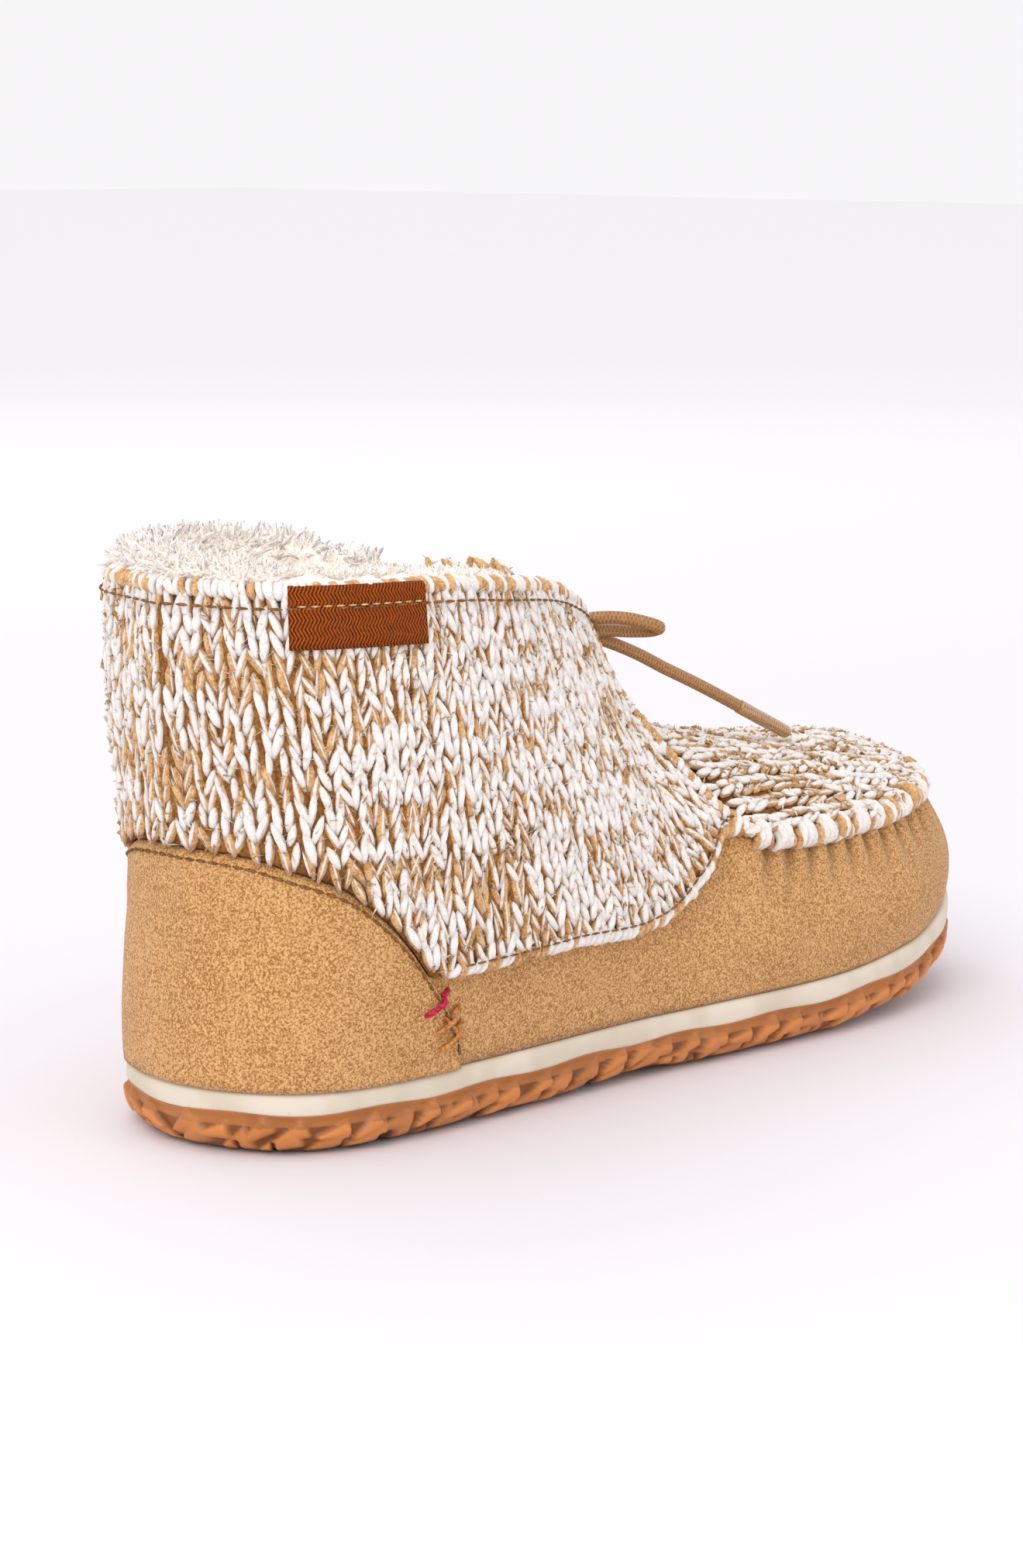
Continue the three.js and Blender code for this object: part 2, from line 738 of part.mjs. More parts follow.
function tongueSheet(from, to, front, back) {
  const rings = [];
  const rows = 8;
  const sides = 8;
  for (let i = 0; i <= rows; i++) {
    const s = from + ((to - from) * i) / rows;
    const ring = [];
    for (let j = 0; j <= sides; j++) ring.push(tonguePoint(s, -1 + (2 * j) / sides, front));
    for (let j = sides; j >= 0; j--) {
      const b = -1 + (2 * j) / sides;
      ring.push(tonguePoint(s, b * 0.97, back - (back - front) * 0.35 * b * b));
    }
    rings.push(ring);
  }
  return bodyFromRings(rings, false);
}

const tongue = () => tongueSheet(0, 1, 0, tongueThickness);

function tongueFleece() {
  const front = tongueThickness + gap;
  const top = 1 + tongueFleeceRise / tongueReach;
  const sheet = tongueSheet(0.35, top, front, front + tongueLining);
  const locks = [-0.75, -0.5, -0.25, 0, 0.25, 0.5, 0.75].map((b, i) => {
    const place = tonguePoint(top, b, front + tongueLining * (i % 2 ? 0.35 : 0.6));
    return lock(place, new THREE.Vector3(1, 0, 0), i % 2 ? 0.4 : -0.3, lockLength * 0.8);
  });
  return locks.reduce((all, one) => all.add(one), sheet);
}

// Lace: one bar between the flaps, and the free bow in front of it, as points chosen by hand
const laceBar = [
  [109.8, -9.4, 97], [112.4, -7.2, 97.4], [114.9, -4.2, 97.7], [115.8, 0, 97.8],
  [114.9, 4.2, 97.7], [112.4, 7.2, 97.4], [109.8, 9.4, 97],
];
const laceLoopLateral = [
  [121.3, -4.9, 98.8], [124.3, -8.6, 99.8], [128.8, -13, 99.8], [133.3, -16.6, 98.6], [137, -17.4, 97.2],
  [137.8, -14.6, 96.2], [134.8, -11, 96], [129.8, -8, 96.4], [125.4, -6, 96.6],
];
const laceLoopMedial = laceLoopLateral.map(([x, y, z]) => [x, -y, z]);
const laceEndLateral = [
  [123.7, -2.2, 96], [127, -4, 95.2], [132, -6.4, 93.4], [140, -8.6, 90], [148, -10.4, 86],
  [157, -11.6, 82], [165.5, -12.2, 78.2], [173.5, -12.4, 74.6],
];
const laceEndMedial = [
  [123.7, 2.2, 96], [127.2, 3.8, 94.4], [131.6, 7.4, 91], [137.6, 12.4, 86.6], [144.6, 17.4, 81.6],
  [152, 21.8, 76.2], [159.2, 25.4, 71.2], [166.4, 28, 67],
];

function tube(points, diameter, steps) {
  const path = new THREE.CatmullRomCurve3(points.map((p) => new THREE.Vector3(...p)));
  const sides = 8;
  const section = new THREE.Shape();
  for (let i = 0; i < sides; i++) {
    const angle = (2 * Math.PI * i) / sides;
    const x = (diameter / 2) * Math.cos(angle);
    const y = (diameter / 2) * Math.sin(angle);
    if (i === 0) section.moveTo(x, y);
    else section.lineTo(x, y);
  }
  section.closePath();
  return solidOf(new THREE.ExtrudeGeometry(section, { steps, extrudePath: path, curveSegments: 1 }));
}

function aglet(points) {
  const tip = new THREE.Vector3(...points[points.length - 1]);
  const before = new THREE.Vector3(...points[points.length - 2]);
  const heading = tip.clone().sub(before).normalize();
  const rod = new THREE.CylinderGeometry(agletDiameter / 2, agletDiameter / 2, agletLength, 8);
  rod.rotateX(Math.PI / 2);
  rod.applyQuaternion(new THREE.Quaternion().setFromUnitVectors(new THREE.Vector3(0, 0, 1), heading));
  const centre = tip.addScaledVector(heading, agletLength / 2 + gap);
  rod.translate(centre.x, centre.y, centre.z);
  return solidOf(rod);
}

const knotPlace = [120.7, 0, 97.4];

function knot() {
  const bead = new THREE.SphereGeometry(1, 8, 6);
  bead.scale(laceDiameter * 1.15, laceDiameter * 1.4, laceDiameter);
  bead.translate(...knotPlace);
  return solidOf(bead);
}

// Finishes
const finishes = {
  suede: { color: 0xcda064, roughness: 0.95, metalness: 0 },
  knit: { color: 0xd9b98c, roughness: 0.95, metalness: 0 },
  fleece: { color: 0xf0ead9, roughness: 1, metalness: 0 },
  foam: { color: 0xeee6d4, roughness: 0.55, metalness: 0 },
  gum: { color: 0xbe8246, roughness: 0.4, metalness: 0 },
  cord: { color: 0xb08250, roughness: 0.6, metalness: 0 },
  satin: { color: 0x965019, roughness: 0.45, metalness: 0 },
  clear: { color: 0xc79a68, roughness: 0.2, metalness: 0 },
};

function meshOf(solid, name, finish) {
  const source = solid.getMesh();
  const geometry = new THREE.BufferGeometry();
  geometry.setAttribute('position', new THREE.BufferAttribute(new Float32Array(source.vertProperties), 3));
  geometry.setIndex(new THREE.BufferAttribute(new Uint32Array(source.triVerts), 1));
  geometry.computeVertexNormals();
  const mesh = new THREE.Mesh(geometry, new THREE.MeshStandardMaterial(finishes[finish]));
  mesh.name = name;
  return mesh;
}

const boot = new THREE.Group();
boot.add(
  meshOf(outsole(), 'outsole', 'gum'),
  meshOf(midsole(), 'midsole', 'foam'),
  meshOf(insole(), 'insole', 'fleece'),
  meshOf(upper(), 'upper', 'suede'),
  meshOf(counter(), 'heel_counter', 'suede'),
  meshOf(knitShaft(), 'knit_shaft', 'knit'),
  meshOf(apron(), 'apron', 'knit'),
  meshOf(tongue(), 'tongue', 'knit'),
  meshOf(tongueFleece(), 'tongue_fleece', 'fleece'),
  meshOf(fleeceCollar(), 'fleece_collar', 'fleece'),
  meshOf(label(), 'side_label', 'satin'),
  meshOf(tube(laceBar, laceDiameter, 10), 'lace_bar', 'cord'),
);
const standing = new THREE.Box3().setFromObject(boot);
boot.add(
  meshOf(knot(), 'lace_knot', 'cord'),
  meshOf(tube(laceLoopLateral, laceDiameter, 12), 'lace_loop_lateral', 'cord'),
  meshOf(tube(laceLoopMedial, laceDiameter, 12), 'lace_loop_medial', 'cord'),
  meshOf(tube(laceEndLateral, laceDiameter, 8), 'lace_end_lateral', 'cord'),
  meshOf(tube(laceEndMedial, laceDiameter, 8), 'lace_end_medial', 'cord'),
  meshOf(aglet(laceEndLateral), 'aglet_lateral', 'clear'),
  meshOf(aglet(laceEndMedial), 'aglet_medial', 'clear'),
);
const middle = standing.getCenter(new THREE.Vector3());
boot.position.set(-middle.x, -middle.y, -standing.min.z);

export default boot;
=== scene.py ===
"""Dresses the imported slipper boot: suede, slub knit, fleece, foam and gum rubber, with its lace."""

import math

import bmesh
import bpy
import numpy as np
from mathutils import Matrix, Vector
from mathutils.bvhtree import BVHTree


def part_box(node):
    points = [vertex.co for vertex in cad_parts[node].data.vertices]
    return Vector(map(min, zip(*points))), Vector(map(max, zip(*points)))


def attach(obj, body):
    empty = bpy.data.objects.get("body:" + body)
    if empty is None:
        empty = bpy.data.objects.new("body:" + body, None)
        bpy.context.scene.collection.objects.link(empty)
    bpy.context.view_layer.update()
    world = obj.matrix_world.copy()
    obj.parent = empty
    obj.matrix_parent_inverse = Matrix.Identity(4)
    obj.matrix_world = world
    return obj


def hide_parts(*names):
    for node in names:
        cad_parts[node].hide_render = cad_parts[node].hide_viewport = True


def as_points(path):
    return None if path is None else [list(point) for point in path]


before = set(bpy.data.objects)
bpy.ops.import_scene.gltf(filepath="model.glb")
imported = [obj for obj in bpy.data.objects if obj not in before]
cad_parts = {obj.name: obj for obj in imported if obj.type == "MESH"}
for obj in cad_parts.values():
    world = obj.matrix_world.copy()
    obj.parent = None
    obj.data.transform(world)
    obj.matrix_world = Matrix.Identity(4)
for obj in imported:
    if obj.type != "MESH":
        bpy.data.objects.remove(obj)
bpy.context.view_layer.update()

# Driving sizes in millimetres, from the back of the heel, as the part's source has them
LAST_LENGTH = 257
BALL_WIDTH = 87
RIM_HEIGHT = 117.5
CREST_HEIGHT = 62
TOE_SPRING = 14
SPRING_START = 0.6
OUTSOLE = 8.8
MIDSOLE = 4.6
SOLE_TOP = OUTSOLE + MIDSOLE
FEATHER_BASE = SOLE_TOP + 0.3
SOLE_LIP = 1.3
OUTSOLE_INSET = 3.6
ARCH_RISE = 1.2
WAVE_HEIGHT = 0.35
WAVE_PITCH = 31
INSOLE = 4
UPPER_WALL = 2
KNIT_THICKNESS = 3.3
COUNTER_THICKNESS = 1.6
COUNTER_LENGTH = 47.5
COUNTER_HEIGHT = 49.2
PLUG_THICKNESS = 3.4
TONGUE_THICKNESS = 3.2
TONGUE_LINING = 4.6
LABEL_THICKNESS = 0.7
LABEL_DROP = 11.5
LABEL_START = 8.2
LABEL_END = 35
GAP = 0.4
KNIT_SEAT = GAP * 1.6
FLEECE_THICKNESS = 6.5
FLEECE_DEPTH = 36
FLEECE_RISE = 5.6
LATERAL_FLEECE_RISE = 2.6
HEEL_HOLLOW = 4.4
HOLLOW_REACH = 0.16
FLAP_END = 0.602
PLEAT_PITCH = 7.6
PLEAT_START = 0.595
LACE_DIAMETER = 3
AGLET_LENGTH = 21
AGLET_DIAMETER = 3.4

# Station, lateral and medial half width as shares of the ball width
PLAN = np.array([
    (0, 0, 0), (0.01, 0.145, 0.148), (0.03, 0.248, 0.252), (0.07, 0.335, 0.345), (0.12, 0.377, 0.392),
    (0.18, 0.395, 0.408), (0.28, 0.411, 0.396), (0.4, 0.423, 0.37), (0.52, 0.462, 0.405),
    (0.62, 0.495, 0.456), (0.7, 0.515, 0.48), (0.78, 0.505, 0.475), (0.86, 0.442, 0.43),
    (0.92, 0.345, 0.36), (0.96, 0.235, 0.278), (0.985, 0.125, 0.195), (1, -0.075, 0.075),
])
# Station, place along the length, breadth and height of the upper edge
EDGE = np.array([
    (0, -0.004, 0.94, 1), (0.03, 0.022, 0.95, 1), (0.1, 0.093, 0.975, 0.998), (0.18, 0.171, 0.96, 0.991),
    (0.25, 0.241, 0.885, 0.974), (0.32, 0.319, 0.71, 0.949), (0.38, 0.381, 0.52, 0.912),
    (0.42, 0.42, 0.395, 0.872), (0.445, 0.441, 0.345, 0.815), (0.475, 0.463, 0.37, 0.73),
    (0.505, 0.489, 0.475, 0.64), (0.54, 0.518, 0.61, 0.55), (0.575, 0.549, 0.76, 0.462),
    (0.605, 0.582, 0.845, 0.415), (0.65, 0.635, 0.855, 0.4), (0.7, 0.69, 0.84, 0.397),
    (0.78, 0.768, 0.815, 0.398), (0.86, 0.845, 0.81, 0.403), (0.92, 0.9, 0.81, 0.411),
    (0.96, 0.934, 0.79, 0.42), (0.985, 0.954, 0.78, 0.427), (1, 0.966, 0.85, 0.433),
])
# Station and swell of the wall as a share of the ball width
SWELL = np.array([
    (0, 0.012), (0.1, 0.02), (0.2, 0.03), (0.3, 0.055), (0.4, 0.085), (0.5, 0.08), (0.58, 0.055),
    (0.65, 0.046), (0.8, 0.05), (1, 0.055),
])
# Place along the counter and height of its upper edge, both as shares
COUNTER = np.array([
    (0, 1), (0.1, 0.98), (0.2, 0.94), (0.32, 0.89), (0.42, 0.84), (0.51, 0.77), (0.63, 0.655),
    (0.72, 0.55), (0.8, 0.44), (0.9, 0.295), (0.97, 0.16), (1, 0.04),
])
# Place along the last and height of the flap's lower edge as a share of the rim's
FLAP = np.array([
    (0, 0.292), (0.22, 0.298), (0.31, 0.303), (0.39, 0.296), (0.435, 0.302), (0.48, 0.333),
    (0.515, 0.372), (0.549, 0.418), (0.57, 0.432),
])
# Place along the last and height of the apron's middle as a share of the crest's
CREST = np.array([
    (0.5, 1.27), (0.54, 1.2), (0.6, 1.13), (0.66, 1.075), (0.74, 1.03), (0.82, 1), (0.88, 0.965),
    (0.93, 0.9),
])
# Row up the tongue, place along the length, height, half width, backward bend and sag of its sides
TONGUE = np.array([
    (0, 0.52, 0.648, 0.192, 0.034, 0.126), (0.2, 0.484, 0.706, 0.186, 0.092, 0.08),
    (0.4, 0.459, 0.768, 0.18, 0.138, 0.046), (0.6, 0.434, 0.83, 0.18, 0.15, 0.034),
    (0.8, 0.41, 0.894, 0.178, 0.15, 0.023), (1, 0.387, 0.953, 0.172, 0.138, 0.023),
])

# Lace routes in millimetres, the same points as in the part's source
LACE_BAR = [
    (109.8, -9.4, 97), (112.4, -7.2, 97.4), (114.9, -4.2, 97.7), (115.8, 0, 97.8),
    (114.9, 4.2, 97.7), (112.4, 7.2, 97.4), (109.8, 9.4, 97),
]
LACE_LOOP = [
    (121.3, -4.9, 98.8), (124.3, -8.6, 99.8), (128.8, -13, 99.8), (133.3, -16.6, 98.6), (137, -17.4, 97.2),
    (137.8, -14.6, 96.2), (134.8, -11, 96), (129.8, -8, 96.4), (125.4, -6, 96.6),
]
LACE_END = {
    "lateral": [
        (123.7, -2.2, 96), (127, -4, 95.2), (132, -6.4, 93.4), (140, -8.6, 90), (148, -10.4, 86),
        (157, -11.6, 82), (165.5, -12.2, 78.2), (173.5, -12.4, 74.6),
    ],
    "medial": [
        (123.7, 2.2, 96), (127.2, 3.8, 94.4), (131.6, 7.4, 91), (137.6, 12.4, 86.6), (144.6, 17.4, 81.6),
        (152, 21.8, 76.2), (159.2, 25.4, 71.2), (166.4, 28, 67),
    ],
}
KNOT_PLACE = (120.7, 0, 97.4)

# Width of a wale and height of a course of the knit
WALE = 5.0
COURSE = 3.9

MM = 0.001
# Step of the loop coordinate or share over which slopes are taken
STEP = 0.004
rng = np.random.default_rng(11)


# The last as a surface

def across(t):
    """Loop coordinate, from 0 at the heel to 1 at the toe, of stations as shares of the length."""
    return np.arccos(1 - 2 * np.asarray(t, float)) / np.pi


def loop_at(t):
    return float(across(t))


def loop_steps(count):
    """Even loop coordinates once round the last, negative on the lateral side."""
    return -1 + 2 * np.arange(count) / count


def curve(xs, ys):
    """A smooth curve through the rows of a table that never overshoots them."""
    xs, ys = np.asarray(xs, float), np.asarray(ys, float)
    h = np.diff(xs)
    d = np.diff(ys) / h
    m = np.zeros(len(xs))
    m[0], m[-1] = d[0], d[-1]
    for i in range(1, len(xs) - 1):
        if d[i - 1] * d[i] > 0:
            a, b = 2 * h[i] + h[i - 1], h[i] + 2 * h[i - 1]
            m[i] = (a + b) / (a / d[i - 1] + b / d[i])

    def at(x):
        u = np.clip(np.asarray(x, float), xs[0], xs[-1])
        i = np.clip(np.searchsorted(xs, u, side="right") - 1, 0, len(xs) - 2)
        s = (u - xs[i]) / h[i]
        s2, s3 = s * s, s * s * s
        ends = (2 * s3 - 3 * s2 + 1) * ys[i] + (3 * s2 - 2 * s3) * ys[i + 1]
        return ends + h[i] * ((s3 - 2 * s2 + s) * m[i] + (s3 - s2) * m[i + 1])

    return at


lateral_half = curve(across(PLAN[:, 0]), PLAN[:, 1])
medial_half = curve(across(PLAN[:, 0]), PLAN[:, 2])
edge_along = curve(across(EDGE[:, 0]), EDGE[:, 1])
edge_breadth = curve(across(EDGE[:, 0]), EDGE[:, 2])
edge_height = curve(across(EDGE[:, 0]), EDGE[:, 3])
swell = curve(across(SWELL[:, 0]), SWELL[:, 1])
counter_top = curve(COUNTER[:, 0], COUNTER[:, 1])
flap_bottom = curve(FLAP[:, 0], FLAP[:, 1])
crest = curve(CREST[:, 0], CREST[:, 1])


def wrap(w):
    return (np.asarray(w, float) + 1) % 2 - 1


def station(w):
    """Share of the length at loop coordinates, which run from 0 at the heel to 1 or -1 at the toe."""
    return (1 - np.cos(np.pi * np.abs(wrap(w)))) / 2


def unit(v):
    return v / np.maximum(np.linalg.norm(v, axis=-1, keepdims=True), 1e-9)


def run_along(points):
    """Length of a path from its first point to each of its points."""
    return np.concatenate([[0], np.cumsum(np.linalg.norm(np.diff(points, axis=0), axis=1))])


def stack(x, y, z):
    return np.stack(np.broadcast_arrays(np.asarray(x, float), y, z), -1)


def half_width(w):
    """Breadth from the middle line, negative on the lateral side."""
    w = wrap(w)
    k = np.abs(w)
    return BALL_WIDTH * np.where(w < 0, -lateral_half(k), medial_half(k))


def spring(x):
    rise = np.clip((x / LAST_LENGTH - SPRING_START) / (1 - SPRING_START), 0, 1)
    return TOE_SPRING * rise * rise


def feather_point(w):
    """Points of the last's lower edge."""
    x = LAST_LENGTH * station(w)
    return stack(x, half_width(w), FEATHER_BASE + spring(x))


def outward(w):
    """Level directions away from the last's lower edge."""
    d = feather_point(w + STEP) - feather_point(w - STEP)
    return unit(stack(-d[..., 1], d[..., 0], 0))


def edge_point(w):
    """Points of the last's upper edge: the rim, the flaps' fronts and the apron's seam."""
    k = np.abs(wrap(w))
    return stack(LAST_LENGTH * edge_along(k), half_width(w) * edge_breadth(k), RIM_HEIGHT * edge_height(k))


def last(w, v):
    """Points of the last's face at loop coordinates w and shares v of the way from its lower to its upper edge."""
    w, v = np.broadcast_arrays(np.asarray(w, float), np.asarray(v, float))
    k = np.abs(wrap(w))
    hollow = HEEL_HOLLOW * np.maximum(0, 1 - station(w) / HOLLOW_REACH)
    out = BALL_WIDTH * swell(k) * np.sin(np.pi * np.clip(v, 0, 1) ** 0.85)
    out = out - hollow * np.sin(np.pi * np.clip(v / 0.88, 0, 1)) ** 2
    low, high = feather_point(w), edge_point(w)
    return low + (high - low) * v[..., None] + outward(w) * out[..., None]


def last_normal(w, v):
    middle = np.clip(v, STEP, 1 - STEP)
    along = last(w + STEP, v) - last(w - STEP, v)
    up = last(w, middle + STEP) - last(w, middle - STEP)
    return unit(np.cross(up, along))


def skin(w, v, offset):
    """Points at an offset from the last's face."""
    return last(w, v) + last_normal(w, v) * np.asarray(offset, float)[..., None]


def beside_edge(w, offset, rise):
    """Points beside the last's upper edge, at an offset from it and a rise over it."""
    n = last_normal(w, np.ones_like(w))
    n[..., 2] = 0
    p = last(w, np.ones_like(w)) + unit(n) * np.asarray(offset, float)[..., None]
    p[..., 2] += rise
    return p


def share_at_height(w, z):
    low, high = feather_point(w)[..., 2], edge_point(w)[..., 2]
    return (z - low) / (high - low)


def sole_rise(w):
    return spring(LAST_LENGTH * station(w))


def tread_height(w):
    """Height of the tread's edge: the toe spring and the arch."""
    share = np.clip((station(w) - 0.34) / 0.16, 0, 1)
    return sole_rise(w) + ARCH_RISE * np.sin(np.pi * share) ** 2


def outline_point(w, offset, z):
    """Points at height z, at an offset from the last's lower edge."""
    p = feather_point(w) + outward(w) * np.asarray(offset, float)[..., None]
    p[..., 2] = z
    return p


RUN_W = np.linspace(-1, 1, 1441)
RUN = run_along(feather_point(RUN_W)[:, :2])
OUTLINE_RUN = RUN[-1]


def run_at(w):
    return np.interp(wrap(w), RUN_W, RUN)


def w_at_run(run):
    return np.interp(np.asarray(run) % OUTLINE_RUN, RUN, RUN_W)


def wave_at(w):
    return WAVE_HEIGHT * np.sin(2 * np.pi * round(OUTLINE_RUN / WAVE_PITCH) * run_at(w) / OUTLINE_RUN)


def counter_edge(x):
    return FEATHER_BASE + COUNTER_HEIGHT * counter_top(x / COUNTER_LENGTH)


def knit_bottom(w):
    """Share of the wall's height at which the shaft ends, over the counter and along the flaps."""
    x = LAST_LENGTH * station(w)
    seat = np.where(x < COUNTER_LENGTH, counter_edge(x) + GAP, 0)
    return share_at_height(w, np.maximum(seat, RIM_HEIGHT * flap_bottom(x / LAST_LENGTH)))


FLEECE_END = loop_at(0.325)


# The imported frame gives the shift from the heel's back to the frame's origin
def frame_shift():
    w, v = np.meshgrid(loop_steps(64), np.linspace(0, 1, 7))
    walls = np.concatenate([skin(w, v, 0), skin(w, v, -UPPER_WALL)]).reshape(-1, 3)
    low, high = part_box("upper")
    return ((np.array(low) + np.array(high)) * 1000 - walls.min(0) - walls.max(0)) / 2


SHIFT = frame_shift()


def placed(points):
    return (np.asarray(points, float) + SHIFT) * MM


# Smooth noise for soft hand-made unevenness

def ripple(points, size, seed):
    """Smooth noise from -1 to 1 at points, from a few waves in random directions."""
    r = np.random.default_rng(seed)
    total = np.zeros(points.shape[:-1])
    for _ in range(9):
        k = unit(r.normal(size=3)) * (2 * np.pi / size) * r.uniform(0.6, 1.5)
        total = total + np.sin(points @ k + r.uniform(0, 2 * np.pi))
    return total / 3.6


# Meshes

def in_scene(name, data):
    thing = bpy.data.objects.new(name, data)
    bpy.context.scene.collection.objects.link(thing)
    return thing


def add_weave(mesh, uv):
    """Weave coordinates on each corner, from a pair for each point."""
    layer = mesh.uv_layers.new(name="weave")
    corners = np.zeros(len(mesh.loops), int)
    mesh.loops.foreach_get("vertex_index", corners)
    layer.data.foreach_set("uv", np.asarray(uv, np.float32)[corners].ravel())


def new_piece(name, points, faces, finish, uv=None, fields=None, mend=True):
    """A mesh piece from points in millimetres. uv has a pair for each point, and fields named numbers."""
    mesh = bpy.data.meshes.new(name)
    mesh.from_pydata(placed(points).tolist(), [], [tuple(f) for f in faces])
    if uv is not None:
        add_weave(mesh, uv)
    for key, values in (fields or {}).items():
        mesh.attributes.new(key, "FLOAT", "POINT").data.foreach_set("value", np.asarray(values, np.float32).ravel())
    if mend:
        turn_outward(mesh)
    mesh.shade_smooth()
    mesh.materials.append(finish)
    return in_scene(name, mesh)


def turn_outward(mesh):
    work = bmesh.new()
    work.from_mesh(mesh)
    bmesh.ops.remove_doubles(work, verts=work.verts, dist=1e-7)
    bmesh.ops.dissolve_degenerate(work, edges=work.edges, dist=1e-8)
    bmesh.ops.recalc_face_normals(work, faces=work.faces)
    if work.calc_volume(signed=True) < 0:
        bmesh.ops.reverse_faces(work, faces=work.faces)
    work.to_mesh(mesh)
    work.free()


def ring_faces(rings, count, closed):
    """Quads between rings of count points each."""
    i = np.arange(rings if closed else rings - 1)[:, None]
    j = np.arange(count)[None, :]
    a = i * count + j
    b = i * count + (j + 1) % count
    shift = ((i + 1) % rings - i) * count
    return np.stack([a, b, b + shift, a + shift], -1).reshape(-1, 4).tolist()


def pair_cap(first, count):
    """Faces that join a section's outer points to its inner ones, which are listed back."""
    return [(first + j, first + j + 1, first + count - 2 - j, first + count - 1 - j) for j in range(count // 2 - 1)]


def ring_piece(name, rings, closed, finish, **more):
    """rings has shape (rings, points, 3); an open run is capped in pairs."""
    r, c = rings.shape[:2]
    faces = ring_faces(r, c, closed)
    if not closed:
        faces += pair_cap(0, c) + pair_cap((r - 1) * c, c)
    return new_piece(name, rings.reshape(-1, 3), faces, finish, **more)


def wall_rings(w, low, high, inner, outer, rows):
    """Rings of a wall on the last: outer(w, s) gives its outer offset at shares s of its height."""
    s = np.linspace(0, 1, rows)
    v = low[:, None] + (high - low)[:, None] * s[None, :]
    ww = np.repeat(w[:, None], rows, 1)
    outside = skin(ww, v, outer(ww, np.repeat(s[None, :], len(w), 0)))
    inside = skin(ww, v, inner)[:, ::-1]
    return np.concatenate([outside, inside], 1)


def tube_frames(path):
    """Two directions across a path that turn as little as they can."""
    t = unit(np.gradient(path, axis=0))
    side = np.zeros_like(path)
    side[0] = unit(np.cross(t[0], [0.1, 0.2, 1]))
    for i in range(1, len(path)):
        side[i] = unit(side[i - 1] - t[i] * (side[i - 1] @ t[i]))
    return side, np.cross(t, side)


def smooth_path(points, step):
    """A centripetal spline through points, cut into even steps."""
    p = np.asarray(points, float)
    p = np.vstack([2 * p[0] - p[1], p, 2 * p[-1] - p[-2]])
    out = []
    for i in range(1, len(p) - 2):
        knots = np.cumsum([0] + [np.linalg.norm(p[i + j] - p[i + j - 1]) ** 0.5 for j in range(3)])
        t = np.linspace(knots[1], knots[2], 13)[:-1, None]

        def blend(j, k, a, b):
            return (knots[k] - t) / (knots[k] - knots[j]) * a + (t - knots[j]) / (knots[k] - knots[j]) * b

        a = [blend(j, j + 1, p[i + j - 1], p[i + j]) for j in range(3)]
        b = [blend(j, j + 2, a[j], a[j + 1]) for j in range(2)]
        out.append(blend(1, 2, b[0], b[1]))
    path = np.vstack(out + [p[-2][None]])
    run = run_along(path)
    count = max(2, round(run[-1] / step))
    even = np.linspace(0, run[-1], count + 1)
    return np.stack([np.interp(even, run, path[:, i]) for i in range(3)], 1)


def tube_mesh(path, radius, sides):
    """Points, faces and weave coordinates of a closed tube; radius is a number or one for each point."""
    side, up = tube_frames(path)
    r = np.broadcast_to(np.asarray(radius, float), (len(path),))[:, None, None]
    angle = np.linspace(0, 2 * np.pi, sides, endpoint=False)
    ring = np.cos(angle)[None, :, None] * side[:, None] + np.sin(angle)[None, :, None] * up[:, None]
    points = (path[:, None] + r * ring).reshape(-1, 3)
    n = len(path)
    faces = ring_faces(n, sides, False)
    ends = np.array([path[0], path[-1]])
    faces += [((j + 1) % sides, j, n * sides) for j in range(sides)]
    faces += [((n - 1) * sides + j, (n - 1) * sides + (j + 1) % sides, n * sides + 1) for j in range(sides)]
    run = run_along(path)
    turn = np.minimum(np.arange(sides), sides - np.arange(sides)) / sides * 2
    uv = np.stack([np.tile(turn, n), np.repeat(run, sides)], -1)
    uv = np.vstack([uv, [[0.5, 0], [0.5, run[-1]]]])
    return np.vstack([points, ends]), faces, uv


# Copies of one small shape, placed by a node tree

